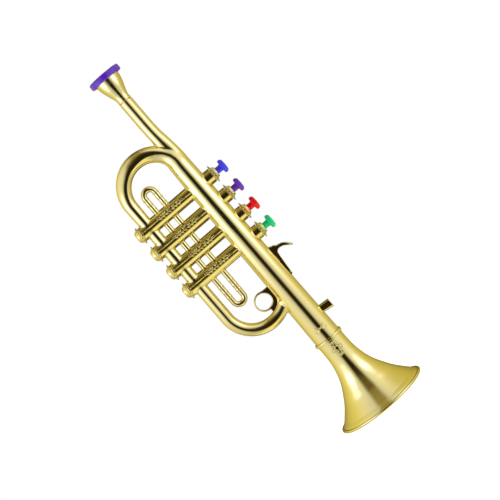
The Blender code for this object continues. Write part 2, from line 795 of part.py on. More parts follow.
def build():
    for old in list(bpy.data.objects):
        bpy.data.objects.remove(old, do_unlink=True)
    gold = material("gold_plated_plastic", (0.83, 0.62, 0.20), 0.16, 1.0)
    violet = material("violet_plastic", (0.10, 0.02, 0.42), 0.25, 0.0)
    rubber = material("valve_rubber", (0.03, 0.03, 0.03), 0.8, 0.0)
    steel = material("spring_steel", (0.55, 0.56, 0.58), 0.3, 1.0)
    brass = material("reed_brass", (0.70, 0.52, 0.22), 0.3, 1.0)
    cream = material("reed_block_plastic", (0.80, 0.78, 0.70), 0.5, 0.0)
    key_colours = (("blue", (0.05, 0.05, 0.72)), ("violet", (0.13, 0.02, 0.42)))
    key_colours += (("red", (0.90, 0.0, 0.01)), ("green", (0.0, 0.55, 0.14)))
    trumpet = empty("trumpet", (tube_axis_x, 0.0, 0.0))
    for name, mesh_data in body_halves().items():
        place(name, mesh_data, gold, trumpet)
    place("bell", bell_mesh(), gold, trumpet)
    place("mouthpiece_cup", cup_mesh(), gold, trumpet)
    place("mouthpiece_rim", rim_mesh(), violet, trumpet)
    place("pinky_hook", hook_mesh(), gold, trumpet)
    place("finger_ring", finger_ring_mesh(), gold, trumpet)
    place("lyre_post", post_mesh(), gold, trumpet)
    for index, height in enumerate(valve_heights):
        number = index + 1
        colour_name, colour = key_colours[index % len(key_colours)]
        valve = empty(f"valve_{number}", (0.0, 0.0, height), trumpet)
        place(f"top_cap_{number}", top_cap_mesh(), gold, valve)
        place(f"bottom_cap_{number}", bottom_cap_mesh(), gold, valve)
        plastic = material(f"{colour_name}_key_plastic", colour, 0.25, 0.0)
        place(f"key_{number}", key_mesh(), plastic, valve)
        place(f"valve_pad_{number}", pad_mesh(), rubber, valve)
        place(f"return_spring_{number}", spring_mesh(), steel, valve)
        place(f"reed_block_{number}", block_mesh(), cream, valve)
        place(f"reed_{number}", reed_mesh(), brass, valve)


build()
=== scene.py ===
# %% [markdown]
# # A gold-plated toy trumpet
# This lesson dresses a small toy trumpet: two plated plastic halves, a pushed-on bell, a
# mouthpiece with a violet ring, four sprung keys, a hook, a finger ring and a short post.
# The mechanical model is loaded first and stays as it is. Each visible piece is made again
# with a finer surface, in the same place, and rides on the body that it belongs to.

# %% Load the mechanical model
import json
import math

import bmesh
import bpy
import numpy as np
from mathutils import Matrix, Vector

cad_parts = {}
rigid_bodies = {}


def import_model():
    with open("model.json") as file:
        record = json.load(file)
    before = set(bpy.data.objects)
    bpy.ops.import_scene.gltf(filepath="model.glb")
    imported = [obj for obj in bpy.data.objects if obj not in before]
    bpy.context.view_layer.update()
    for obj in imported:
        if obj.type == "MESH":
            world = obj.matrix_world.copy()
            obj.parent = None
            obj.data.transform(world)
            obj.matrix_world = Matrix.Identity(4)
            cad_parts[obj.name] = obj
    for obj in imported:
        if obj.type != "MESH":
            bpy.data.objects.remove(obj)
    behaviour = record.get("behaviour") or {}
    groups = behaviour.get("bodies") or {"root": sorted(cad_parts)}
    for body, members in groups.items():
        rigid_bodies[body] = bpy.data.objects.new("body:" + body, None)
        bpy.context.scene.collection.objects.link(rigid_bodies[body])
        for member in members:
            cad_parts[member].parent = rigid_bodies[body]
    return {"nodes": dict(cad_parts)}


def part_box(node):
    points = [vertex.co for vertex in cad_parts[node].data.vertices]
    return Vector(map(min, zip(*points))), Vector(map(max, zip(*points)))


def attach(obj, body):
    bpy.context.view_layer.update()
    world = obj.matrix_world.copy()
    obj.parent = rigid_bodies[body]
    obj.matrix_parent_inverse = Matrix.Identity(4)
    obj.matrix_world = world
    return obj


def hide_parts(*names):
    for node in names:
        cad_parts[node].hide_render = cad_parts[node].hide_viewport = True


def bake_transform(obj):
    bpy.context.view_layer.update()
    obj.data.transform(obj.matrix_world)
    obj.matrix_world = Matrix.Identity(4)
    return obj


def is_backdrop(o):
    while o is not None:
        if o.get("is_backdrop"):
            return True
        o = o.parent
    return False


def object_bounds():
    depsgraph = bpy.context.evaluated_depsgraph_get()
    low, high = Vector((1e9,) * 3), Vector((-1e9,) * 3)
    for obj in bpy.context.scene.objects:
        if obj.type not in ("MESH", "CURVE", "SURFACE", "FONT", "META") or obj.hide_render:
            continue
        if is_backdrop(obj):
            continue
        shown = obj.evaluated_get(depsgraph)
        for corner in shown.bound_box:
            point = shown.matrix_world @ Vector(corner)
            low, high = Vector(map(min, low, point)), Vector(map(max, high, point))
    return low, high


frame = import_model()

cad_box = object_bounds()

# %% [markdown]
# ## Where things are
# The trumpet stands on its bell. Every place below is measured from the main tube's axis:
# u runs the way the keys point, y runs away from the photographed side and z runs up to the
# mouthpiece. The heights come from the solids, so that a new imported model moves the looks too.

# %% Read the main places from the solids
def node_middle(name):
    low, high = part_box(name)
    return (low + high) / 2


axis_x = node_middle("mouthpiece_rim").x
tube_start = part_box("bell")[1].z
overall_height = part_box("mouthpiece_rim")[1].z
valve_heights = {number: node_middle(f"key_{number}").z for number in (1, 2, 3, 4)}
first_valve, last_valve = valve_heights[1], valve_heights[4]
print("tube axis at x", round(axis_x, 4), "valves from", round(last_valve, 4), "to", round(first_valve, 4))

# %% [markdown]
# ## The camera
# The photograph was taken from in front of the valves with a long lens, a little above the
# middle of the trumpet, and rolled so that the mouthpiece points up to the left. Roll, tilt
# and lens were worked out from the bell's rim, whose near edge shows 10 pixels beyond the line
# between its two ends.

# %% Set up the camera
def put(name, data, place=(0.0, 0.0, 0.0)):
    # A new object in the scene, placed by its distances from the tube's axis
    thing = bpy.data.objects.new(name, data)
    thing.location = (axis_x + place[0], place[1], place[2])
    bpy.context.scene.collection.objects.link(thing)
    return thing


camera_place = (-0.002, -1.355, 0.2764)
camera_tilt = math.radians(-4.3)
camera_roll = math.radians(-40.63)
lens = bpy.data.cameras.new("camera")
lens.sensor_width = 36.0
lens.lens = 113.6
lens.clip_start, lens.clip_end = 0.01, 20.0
camera = put("camera", lens, camera_place)
turn_up = Matrix.Rotation(math.pi / 2 + camera_tilt, 4, "X")
camera.matrix_world = Matrix.Translation(camera.location) @ turn_up @ Matrix.Rotation(camera_roll, 4, "Z")
bpy.context.scene.camera = camera
print("camera at", [round(value, 3) for value in camera.matrix_world.translation])

# %% [markdown]
# ## The studio
# Plated plastic shows little colour of its own: it shows the room. The trumpet was lit by
# large white panels that run along it, left and right of the lens, with a dark gap between
# them where the camera stood. That gap makes the thin black line along every tube. Such a
# room is easier to draw as the world's colour, by direction, than to build from panels. These
# helpers make the shader nodes for it. An input is linked from a node or set to a value.

# %% Helpers for shader nodes
def fill(tree, node, inputs):
    for key, value in inputs.items():
        socket = node.inputs[key]
        if isinstance(value, bpy.types.NodeSocket):
            tree.links.new(value, socket)
        else:
            socket.default_value = (*value, 1.0) if socket.type == "RGBA" else value
    return node


def add_node(tree, kind, inputs, **settings):
    node = tree.nodes.new(f"ShaderNode{kind}")
    for setting, value in settings.items():
        setattr(node, setting, value)
    return fill(tree, node, inputs)


def add_math(tree, operation, *values):
    return add_node(tree, "Math", dict(enumerate(values)), operation=operation).outputs[0]


def add_mix(tree, share, first, second):
    # First where the share is 0, second where it is 1; each is a socket or a fixed colour
    return add_node(tree, "Mix", {0: share, 6: first, 7: second}, data_type="RGBA").outputs[2]


def add_ramp(tree, share, stops, easing="LINEAR"):
    # A colour that changes along a line from 0 to 1; a stop is (place, level) or (place, colour)
    node = add_node(tree, "ValToRGB", {0: share})
    ramp = node.color_ramp
    ramp.interpolation = easing
    ramp.elements.remove(ramp.elements[0])
    for index, (place, colour) in enumerate(stops):
        stop = ramp.elements.new(place) if index else ramp.elements[0]
        stop.position = place
        stop.color = (*colour, 1.0) if isinstance(colour, tuple) else (colour, colour, colour, 1.0)
    return node.outputs[0]


# %% [markdown]
# Each stop below is a direction in degrees and a colour. The turn is 0 towards the camera, 90
# on the keys' side and -90 on the slide's side. The lift is 90 straight up, to the mouthpiece,
# and -90 straight down, to the bell. The panels are white, and what lies beyond them is warm,
# like the gold itself, which gives the plating its deep edges.

# %% Choose the panels
panels_by_turn = (
    (-180, (0.10, 0.08, 0.03)), (-165, (0.36, 0.30, 0.10)), (-140, (0.62, 0.56, 0.22)),
    (-116, (0.78, 0.72, 0.32)), (-98, (0.90, 0.86, 0.60)), (-82, (0.92, 0.90, 0.85)),
    (-69, (0.92, 0.91, 0.98)), (-50, (0.88, 0.89, 1.0)), (-36, (0.78, 0.80, 0.90)),
    (-26, (0.60, 0.62, 0.62)), (22, (0.60, 0.62, 0.62)), (32, (0.78, 0.81, 0.88)),
    (50, (0.95, 0.96, 1.0)), (69, (0.98, 0.97, 0.98)), (82, (0.86, 0.84, 0.66)),
    (98, (0.72, 0.67, 0.38)), (116, (0.62, 0.57, 0.22)), (140, (0.52, 0.46, 0.14)),
    (165, (0.30, 0.24, 0.06)), (180, (0.10, 0.08, 0.02)),
)
panels_by_lift = (
    (-90, 0.30), (-60, 0.55), (-15, 0.90), (15, 0.98), (35, 0.98), (55, 0.88), (70, 0.74), (90, 0.40),
)
print("panels drawn from", len(panels_by_turn), "turns and", len(panels_by_lift), "lifts")

# %% [markdown]
# The gap is nearly black in front of the trumpet, brown above it and bright far below, where a
# light shines up from the bell's side. It narrows towards the top and the bottom by the spread,
# a share of the lift. The backdrop that the camera sees directly is plain white.

# %% Choose the dark gap and the brightness
gap_by_turn = ((-25, 1.0), (-12, 0.0), (10, 0.0), (23, 1.0))
gap_spread = 0.3
gap_by_lift = (
    (-90, (0.90, 0.88, 0.55)), (-54, (1.0, 1.0, 0.68)), (-42, (0.94, 0.91, 0.60)),
    (-34, (0.48, 0.43, 0.24)), (-26, (0.12, 0.09, 0.03)), (-18, (0.04, 0.025, 0.009)),
    (-10, (0.018, 0.010, 0.005)), (10, (0.018, 0.009, 0.004)), (22, (0.018, 0.011, 0.004)),
    (33, (0.035, 0.024, 0.008)), (42, (0.075, 0.055, 0.016)), (53, (0.135, 0.105, 0.03)),
    (64, (0.235, 0.20, 0.08)), (76, (0.31, 0.265, 0.11)), (90, (0.32, 0.27, 0.11)),
)
below_by_lift = ((-90, 1.0), (-66, 1.0), (-50, 0.0))
light_from_below = (0.92, 0.90, 0.62)
panel_brightness = 1.05
backdrop_brightness = 1.0
print("the gap is", gap_by_turn[2][0] - gap_by_turn[1][0], "degrees wide")

# %% [markdown]
# Angles become shares of the whole circle, because a ramp runs from 0 to 1. The ramps are then
# joined: the gap's colours where the gap stands, the panels elsewhere, and the light from below.

# %% Paint the room
def paint_room():
    world = bpy.data.worlds.new("studio")
    world.use_nodes = True
    bpy.context.scene.world = world
    tree = world.node_tree

    def colour_by(share, whole, stops):
        return add_ramp(tree, share, [(0.5 + angle / whole, value) for angle, value in stops])

    def turn_of(across, towards):
        angle = add_math(tree, "ARCTAN2", across, towards)
        return add_math(tree, "ADD", add_math(tree, "DIVIDE", angle, math.tau), 0.5)

    direction = tree.nodes.new("ShaderNodeTexCoord").outputs["Generated"]
    across, away, up = add_node(tree, "SeparateXYZ", {0: direction}).outputs
    towards = add_math(tree, "MULTIPLY", away, -1.0)
    spread = add_math(tree, "MULTIPLY", add_math(tree, "ABSOLUTE", up), gap_spread)
    turn = turn_of(across, towards)
    gap_turn = turn_of(across, add_math(tree, "ADD", towards, spread))
    lift = add_math(tree, "ADD", add_math(tree, "DIVIDE", add_math(tree, "ARCSINE", up), math.pi), 0.5)
    both = {0: colour_by(turn, 360, panels_by_turn), 1: colour_by(lift, 180, panels_by_lift)}
    panels = add_node(tree, "VectorMath", both, operation="MULTIPLY").outputs[0]
    room = add_mix(tree, colour_by(gap_turn, 360, gap_by_turn), colour_by(lift, 180, gap_by_lift), panels)
    room = add_mix(tree, colour_by(lift, 180, below_by_lift), room, light_from_below)
    seen = tree.nodes.new("ShaderNodeLightPath").outputs["Is Camera Ray"]
    brighter = add_math(tree, "MULTIPLY", seen, backdrop_brightness - panel_brightness)
    fill(tree, tree.nodes["Background"], {
        "Color": add_mix(tree, seen, room, (1.0, 1.0, 1.0)),
        "Strength": add_math(tree, "ADD", brighter, panel_brightness),
    })
    return tree


room_tree = paint_room()
bpy.context.scene.view_settings.view_transform = "Standard"
print("room drawn with", len(room_tree.nodes), "nodes")

# %% [markdown]
# Two softboxes hang close to the trumpet, one on each side of the lens. Because they are near,
# they brighten only the middle of the tube and the shoulders of the bell. Their edges fade, as
# the cloth of a real softbox does, and the camera doesn't see them.

# %% Hang two softboxes
softbox_colour = (0.39, 0.49, 1.0)
softbox_distance = 0.42
softbox_brightness = 2.1


def hang_softbox(name, turn, height, wide, tall):
    data = bpy.data.lights.new(name, "AREA")
    data.color = softbox_colour
    data.shape = "RECTANGLE"
    data.size, data.size_y = wide, tall
    data.energy = math.pi * wide * tall * softbox_brightness
    data.use_nodes = True
    tree = data.node_tree
    place = tree.nodes.new("ShaderNodeNewGeometry").outputs["Parametric"]
    from_middle = add_node(tree, "VectorMath", {0: place, 1: (0.5, 0.5, 0.0)}, operation="DISTANCE")
    fade = add_ramp(tree, from_middle.outputs["Value"], ((0.0, 1.0), (0.5, 0.0)), "EASE")
    fill(tree, tree.nodes["Emission"], {"Strength": fade})
    turn = math.radians(turn)
    across, near = softbox_distance * math.sin(turn), softbox_distance * math.cos(turn)
    softbox = put(name, data, (across, -near, height))
    softbox.rotation_euler = (math.pi / 2, 0.0, turn)
    softbox.visible_camera = False
    return softbox


softboxes = [
    hang_softbox("softbox_keys", 58.0, 0.250, 0.50, 0.38),
    hang_softbox("softbox_slide", -64.0, 0.280, 0.60, 0.46),
]
print("softboxes at heights", [round(softbox.location.z, 2) for softbox in softboxes])

# %% [markdown]
# A black cloth on a frame hangs between the lens and the trumpet, out of the picture. The
# mouthpiece's cup mirrors it, so the dark line stays dark there as well. It leans forward, so
# that the bell only sees its thin edge.

# %% Hang the black cloth
cloth_wide, cloth_tall = 0.130, 0.105
cloth_turn = math.radians(-2.0)
cloth_lean = math.radians(43.0)
cloth_distance, cloth_height = 0.20, 0.228


def new_finish(name):
    finish = bpy.data.materials.new(name)
    finish.use_nodes = True
    return finish, finish.node_tree, finish.node_tree.nodes["Principled BSDF"]


mesh = bpy.data.meshes.new("black_cloth")
side, rise = cloth_wide / 2, cloth_tall / 2
corners = [(-side, 0.0, -rise), (side, 0.0, -rise), (side, 0.0, rise), (-side, 0.0, rise)]
mesh.from_pydata(corners, [], [(0, 1, 2, 3)])
cloth = put("black_cloth", mesh, (cloth_distance * math.sin(cloth_turn), -cloth_distance, cloth_height))
cloth.rotation_euler.x = cloth_lean
weave, tree, shader = new_finish("black_cloth")
threads = add_node(tree, "TexNoise", {"Scale": 400.0}).outputs[0]
black = add_ramp(tree, threads, ((0.3, 0.004), (0.7, 0.010)))
fill(tree, shader, {"Base Color": black, "Roughness": 1.0})
mesh.materials.append(weave)
cloth.visible_camera = cloth.visible_shadow = cloth.visible_diffuse = False
cloth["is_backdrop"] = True
print("cloth at height", round(cloth.location.z, 3))

# %% [markdown]
# ## The floor
# A pale disc lies under the bell's rim, so that the trumpet stands on something. It isn't part
# of the trumpet, and it is as pale as the photograph's background. The gold doesn't mirror it,
# because the photographed trumpet had no such disc below it.

# %% Lay the floor
floor_radius = 0.45
floor_drop = 0.0002

mesh = bpy.data.meshes.new("floor")
shape = bmesh.new()
bmesh.ops.create_circle(shape, cap_ends=True, radius=floor_radius, segments=96)
shape.to_mesh(mesh)
shape.free()
floor = put("floor", mesh, (0.0, 0.0, -floor_drop))
paper, tree, shader = new_finish("pale_floor")
fill(tree, shader, {
    "Base Color": (0.93, 0.93, 0.92), "Roughness": 0.9,
    "Emission Color": (1.0, 1.0, 1.0), "Emission Strength": 0.85,
})
mesh.materials.append(paper)
floor.visible_glossy = False
floor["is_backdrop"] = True
print("floor of", len(floor.data.vertices), "corners")

# %% [markdown]
# ## Gold plating
# The gold is a thin metal film on smooth plastic under a clear lacquer. It is a metal for the
# shader, a pale greenish gold, nearly a mirror. Moulded plastic is never quite flat, so a slow
# noise bends the reflections a little and a fine one roughens them by a trace. The noises are
# fixed to the piece, and their blob sizes and heights are in metres.

# %% Mix the gold plating
def add_noise(tree, size, detail=2.0):
    place = tree.nodes.new("ShaderNodeTexCoord").outputs["Object"]
    return add_node(tree, "TexNoise", {"Vector": place, "Scale": 1.0 / size, "Detail": detail}).outputs[0]


def add_range(tree, share, low, high):
    return add_node(tree, "MapRange", {0: share, 3: low, 4: high}).outputs[0]


def add_waves(tree, layers):
    # Bumps from several noises; each layer is (blob size, height)
    height = None
    for size, depth in layers:
        layer = add_math(tree, "MULTIPLY", add_noise(tree, size), depth)
        height = layer if height is None else add_math(tree, "ADD", height, layer)
    return add_node(tree, "Bump", {"Distance": 1.0, "Height": height}).outputs[0]


gold, tree, shader = new_finish("gold_plating")
fill(tree, shader, {
    "Base Color": add_mix(tree, add_noise(tree, 0.02), (0.95, 0.81, 0.335), (0.92, 0.78, 0.305)),
    "Roughness": add_range(tree, add_noise(tree, 0.006, 4.0), 0.10, 0.17),
    "Metallic": 1.0, "Coat Weight": 0.25, "Coat Roughness": 0.08,
    "Normal": add_waves(tree, ((0.009, 0.000010), (0.0012, 0.0000002))),
})
print("gold plating has", len(tree.nodes), "nodes")

# %% [markdown]
# ## Coloured plastic
# The keys and the mouthpiece ring are moulded in coloured plastic, glossy with a soft depth.
# A plain colour would look painted, so light goes a little way in, and the colour is faintly
# cloudy and slightly uneven. The ring is shinier than the keys.

# %% Mix the coloured plastics
plastic_depth = 0.002


def glossy_plastic(name, colour, shade, rough=0.22, coat=0.0, coat_ior=1.5):
    finish, tree, shader = new_finish(name)
    fill(tree, shader, {
        "Base Color": add_mix(tree, add_noise(tree, 0.004, 3.0), colour, shade),
        "Roughness": add_range(tree, add_noise(tree, 0.002), rough, 1.5 * rough),
        "Specular IOR Level": 0.4, "Coat Weight": coat, "Coat IOR": coat_ior,
        "Subsurface Weight": 0.12, "Subsurface Radius": 3 * (plastic_depth,), "Subsurface Scale": 1.0,
        "Normal": add_waves(tree, ((0.003, 0.00001),)),
    })
    return finish


violet_plastic = glossy_plastic("violet_plastic", (0.14, 0.024, 0.60), (0.12, 0.016, 0.52), 0.15, 0.3, 1.6)
key_plastics = {
    1: glossy_plastic("blue_plastic", (0.08, 0.075, 0.95), (0.06, 0.05, 0.80)),
    2: glossy_plastic("purple_plastic", (0.20, 0.036, 0.54), (0.16, 0.028, 0.44)),
    3: glossy_plastic("red_plastic", (1.0, 0.0, 0.006), (0.84, 0.0, 0.005)),
    4: glossy_plastic("green_plastic", (0.002, 0.74, 0.24), (0.002, 0.62, 0.19)),
}
print("coloured plastics:", 1 + len(key_plastics))

# %% [markdown]
# ## Hidden materials
# Inside the casings there are rubber pads, steel springs, cream plugs and brass reeds. One
# recipe makes all four: two close tones, a roughness that varies by a fifth, and a fine grain.

# %% Mix rubber, steel, cream plastic and brass
def plain_finish(name, colour, shade, rough, metal, grain):
    finish, tree, shader = new_finish(name)
    fill(tree, shader, {
        "Base Color": add_mix(tree, add_noise(tree, grain, 3.0), colour, shade),
        "Roughness": add_range(tree, add_noise(tree, grain), rough * 0.8, rough * 1.2),
        "Metallic": metal,
        "Normal": add_waves(tree, ((grain, grain / 100),)),
    })
    return finish


pad_rubber = plain_finish("pad_rubber", (0.03, 0.03, 0.03), (0.05, 0.05, 0.05), 0.7, 0.0, 0.0006)
spring_steel = plain_finish("spring_steel", (0.60, 0.61, 0.63), (0.50, 0.51, 0.53), 0.25, 1.0, 0.0005)
block_plastic = plain_finish("block_plastic", (0.80, 0.78, 0.70), (0.74, 0.71, 0.62), 0.45, 0.0, 0.001)
reed_brass = plain_finish("reed_brass", (0.74, 0.56, 0.26), (0.66, 0.48, 0.20), 0.25, 1.0, 0.0008)
print("hidden materials:", [finish.name for finish in (pad_rubber, spring_steel, block_plastic, reed_brass)])

# %% [markdown]
# ## Helpers for pieces
# Every piece is a mesh in trumpet coordinates, moved sideways onto the tube's axis. It gets a
# finish, rides on a body and hides the plain solids that it stands for.
# Edges sharper than the given angle stay sharp, and the rest is shaded smoothly.

# %% Make a piece from a mesh
def dressed(name, mesh, finish, sharp):
    mesh.materials.clear()
    mesh.materials.append(finish)
    if sharp:
        mesh.shade_smooth()
        mesh.set_sharp_from_angle(angle=math.radians(sharp))
    print(name, "has", len(mesh.polygons), "faces")
    return put(name, mesh)


def add_piece(name, mesh, finish, body="instrument", stands_for=(), sharp=35.0):
    piece = dressed(name, mesh, finish, sharp)
    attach(piece, body)
    if stands_for:
        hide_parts(*stands_for)
    return piece


def add_gold(name, mesh, stands_for=(), sharp=35.0):
    return add_piece(name, mesh, gold, stands_for=stands_for, sharp=sharp)


def mesh_from(name, points, faces):
    mesh = bpy.data.meshes.new(name)
    mesh.from_pydata([tuple(point) for point in points], [], faces)
    mesh.validate()
    shape = bmesh.new()
    shape.from_mesh(mesh)
    bmesh.ops.recalc_face_normals(shape, faces=shape.faces)
    shape.to_mesh(mesh)
    shape.free()
    return mesh


# %% [markdown]
# Turned pieces come from an outline of (radius, distance) points. A corner of the outline may
# carry a fillet radius, which is drawn as a short arc, because no moulded edge is sharp. Three
# fillets serve for most edges, and four numbers of sides serve for all turned pieces.

# %% Round the corners of an outline
crisp, soft, mellow = 0.0002, 0.0003, 0.0004
bell_sides, cup_sides, key_sides, bore_sides = 256, 160, 96, 32


def rounded(corners, steps=5):
    # Corners are (radius, distance) or (radius, distance, fillet)
    points = []
    for index, corner in enumerate(corners):
        here = Vector(corner[:2])
        fillet = corner[2] if len(corner) > 2 else 0.0
        if not fillet:
            points.append(tuple(here))
            continue
        back = Vector(corners[index - 1][:2]) - here
        ahead = Vector(corners[(index + 1) % len(corners)][:2]) - here
        half_angle = back.angle(ahead) / 2
        reach = min(fillet / math.tan(half_angle), 0.49 * back.length, 0.49 * ahead.length)
        start, end = here + back.normalized() * reach, here + ahead.normalized() * reach
        for step in range(steps + 1):
            share = step / steps
            points.append(tuple(start.lerp(here, share).lerp(here.lerp(end, share), share)))
    return points


print("a triangle with one fillet has", len(rounded([(0, 0), (1, 0, 0.2), (1, 1)])), "points")

# %% [markdown]
# The outline is copied round the axis, and neighbouring copies are joined by faces. An open
# outline is capped at both ends, and a closed one runs round to its start. Flutes, where a
# piece has them, are a function of angle, radius and distance that gives the fluted radius.

# %% Turn outlines about an axis
def skin(name, grid, closed=False):
    # Faces over rings of points
    rings, sides = grid.shape[:2]
    faces = []
    for ring in range(rings if closed else rings - 1):
        low, high = ring * sides, (ring + 1) % rings * sides
        for side in range(sides):
            after = (side + 1) % sides
            faces.append((low + side, low + after, high + after, high + side))
    if not closed:
        faces += [tuple(range(sides)), tuple(range((rings - 1) * sides, rings * sides))]
    return mesh_from(name, grid.reshape(-1, 3), faces)


def turned(name, outline, segments, along="z", height=0.0, flutes=None, closed=False):
    outline = np.array(outline)
    angles = math.tau * np.arange(segments) / segments
    radius = np.repeat(outline[:, :1], segments, axis=1)
    distance = np.repeat(outline[:, 1:2], segments, axis=1)
    if flutes:
        radius = flutes(angles[None, :], radius, distance)
    across, sideways = radius * np.cos(angles), radius * np.sin(angles)
    if along == "z":
        grid = np.stack([across, sideways, distance + height], axis=-1)
    else:
        grid = np.stack([distance, -sideways, across + height], axis=-1)
    return skin(name, grid, closed)


# %% [markdown]
# Smooth outlines, such as the bell's, are drawn through a few shares by a curve that never
# overshoots. A common smooth curve swings past its points, which shows in a mirror finish.

# %% Draw smooth curves through a few shares
def smooth_curve(pairs):
    # A function through (x, y) pairs whose slope is smooth and never changes sign between them
    xs, ys = np.array(pairs, float).T
    secants = np.diff(ys) / np.diff(xs)
    slopes = np.concatenate([secants[:1], np.zeros(len(xs) - 2), secants[-1:]])
    same = secants[:-1] * secants[1:] > 0
    slopes[1:-1][same] = 2 / (1 / secants[:-1][same] + 1 / secants[1:][same])

    def curve(x):
        x = np.clip(x, xs[0], xs[-1])
        spot = np.clip(np.searchsorted(xs, x, side="right") - 1, 0, len(xs) - 2)
        width = xs[spot + 1] - xs[spot]
        t = (x - xs[spot]) / width
        start = ys[spot] * (1 + 2 * t) + width * slopes[spot] * t
        end = ys[spot + 1] * (3 - 2 * t) + width * slopes[spot + 1] * (t - 1)
        return start * (1 - t) ** 2 + end * t ** 2

    return curve


# %% [markdown]
# ## The bell
# The bell is a separate moulding with a band at its neck and a rolled bead at its rim. Its
# outline was read off the photograph as shares of its length and of its growth in radius, so
# a bell of another size keeps its shape.

# %% Draw the bell's flare
bell_height = 0.0713
bell_rim_radius = 0.0436
bell_neck_radius = 0.0126
bell_shares = (
    (0.0185, 0.985), (0.0485, 0.918), (0.096, 0.791), (0.141, 0.696), (0.203, 0.575), (0.264, 0.467),
    (0.327, 0.376), (0.388, 0.291), (0.449, 0.214), (0.511, 0.152), (0.572, 0.101), (0.633, 0.065),
    (0.695, 0.034), (0.756, 0.016), (0.819, 0.005), (0.90, 0.0), (1.0, 0.0),
)
bell_growth = smooth_curve(bell_shares)


def bell_radius(height):
    return bell_neck_radius + (bell_rim_radius - bell_neck_radius) * bell_growth(height / bell_height)


print("bell radius half way up:", round(float(bell_radius(bell_height / 2)), 4))

# %% [markdown]
# The wall is the flare and a copy of it moved inwards. The bead closes it at the rim, where the
# flare draws in a little so that the bead stands proud. A socket closes it at the neck: the
# body's spigot will go in there. Points are closer together near the rim, where it curves most.

# %% Turn the bell
bell_wall = 0.0014
bead_radius = 0.0013
bead_stand = 0.0008
band_radius = 0.0139
band_fillet = 0.0009
spigot_length = 0.0115
fit_gap = 0.0003

bead_middle = bell_rim_radius - bead_radius
skin_low = 1.9 * bead_radius
heights = bell_height - (bell_height - skin_low) * np.linspace(0.0, 1.0, 110) ** 0.9
outer = np.stack([bell_radius(heights), heights], axis=1)
outer[:, 0] -= bead_stand * np.clip(1.0 - (heights - skin_low) / (4 * bead_radius), 0.0, 1.0)
along = np.gradient(outer, axis=0)
along /= np.linalg.norm(along, axis=1)[:, None]
inner = outer + np.stack([along[:, 1], -along[:, 0]], axis=1) * bell_wall
bead = []
for turn in np.linspace(math.radians(60.0), math.radians(-150.0), 22):
    bead.append((bead_middle + bead_radius * math.cos(turn), bead_radius + bead_radius * math.sin(turn)))
socket_radius = bell_neck_radius - bell_wall
socket_low = tube_start - spigot_length - 2 * fit_gap
keep = (inner[:, 0] > socket_radius + 0.00002) & (inner[:, 1] > 1.4 * bead_radius)
neck = rounded([
    (socket_radius, socket_low), (socket_radius, tube_start, crisp),
    (band_radius, tube_start, band_fillet), (band_radius, bell_height, band_fillet),
    (bell_neck_radius, bell_height, crisp),
])
bell_outline = neck + outer[1:].tolist() + bead + inner[keep][::-1].tolist()
add_gold("bell_skin", turned("bell_skin", bell_outline, bell_sides, closed=True), ("bell",))

# %% [markdown]
# ## The mouthpiece
# The cup is plated and pushes into the leadpipe up to a small collar. Its bowl narrows to a
# throat, as on a real mouthpiece. Its outside grows from the leadpipe to a shoulder by shares
# that were read off the photograph, as the bell's were.

# %% Turn the cup
leadpipe_radius = 0.0059
cup_shoulder_radius = 0.0116
cup_neck_radius = 0.0110
collar_radius = 0.0064
collar_width = 0.0011
shank_radius, shank_bore, shank_length = 0.0041, 0.0024, 0.0140
throat_radius, bowl_radius, bowl_depth = 0.0018, 0.0090, 0.0150
cup_base = 0.3410
cup_top = 0.3643
cup_growth = smooth_curve((
    (0.0, 0.0), (0.15, 0.04), (0.26, 0.15), (0.43, 0.39),
    (0.60, 0.64), (0.77, 0.84), (0.90, 0.95), (1.0, 1.0),
))

bowl_top = cup_top + 0.0019
shank_low = cup_base - shank_length
collar_top = cup_base + collar_width
heights = np.linspace(collar_top + 0.0002, cup_top - 0.0003, 48)
growth = cup_growth((heights - cup_base) / (cup_top - cup_base))
flare = leadpipe_radius + (cup_shoulder_radius - leadpipe_radius) * growth
outside = list(zip(flare.tolist(), heights.tolist()))
bowl = []
for turn in np.linspace(0.0, math.pi / 2, 20):
    across = throat_radius + (bowl_radius - throat_radius) * math.cos(turn)
    bowl.append((across, bowl_top - bowl_depth * math.sin(turn)))
low = rounded([
    (shank_bore, shank_low), (shank_radius, shank_low, soft), (shank_radius, cup_base),
    (collar_radius, cup_base, mellow), (collar_radius, collar_top, mellow),
    (leadpipe_radius, collar_top, 0.0001),
])
top = rounded([
    outside[-1], (cup_neck_radius, cup_top - 0.0003), (cup_neck_radius, bowl_top),
    (bowl_radius, bowl_top, mellow), bowl[1],
])
throat = [(throat_radius, cup_base), (shank_bore, cup_base - 0.002)]
cup_outline = low + outside[:-1] + top[:-1] + bowl[1:] + throat
add_gold("cup_skin", turned("cup_skin", cup_outline, cup_sides, closed=True), ("mouthpiece_cup",))

# %% [markdown]
# The violet ring sits on the cup and makes the soft rim for the lips, so its edges are much
# rounder than any edge of the metal. It is a plain turned ring with a recess for the cup.

# %% Turn the violet ring
rim_radius, rim_hole_radius, rim_recess_radius = 0.0155, 0.0098, 0.0113
recess_top = cup_top + 0.0022
ring_outline = rounded([
    (rim_recess_radius, cup_top, crisp), (rim_radius, cup_top, 0.0015),
    (rim_radius, overall_height, 0.0016), (rim_hole_radius, overall_height, 0.0013),
    (rim_hole_radius, recess_top, crisp), (rim_recess_radius, recess_top),
], steps=8)
violet_ring = turned("violet_ring", ring_outline, cup_sides, closed=True)
add_piece("violet_ring", violet_ring, violet_plastic, stands_for=("mouthpiece_rim",))

# %% [markdown]
# ## Moulded shapes from a distance
# The body has tubes that flow into each other with soft corners, which is hard to draw face by
# face. It is easier to say how far any point lies from the wanted surface: negative inside and
# positive outside. A soft minimum of two such distances joins two tubes with a fillet, and a
# soft maximum keeps only what lies within both.

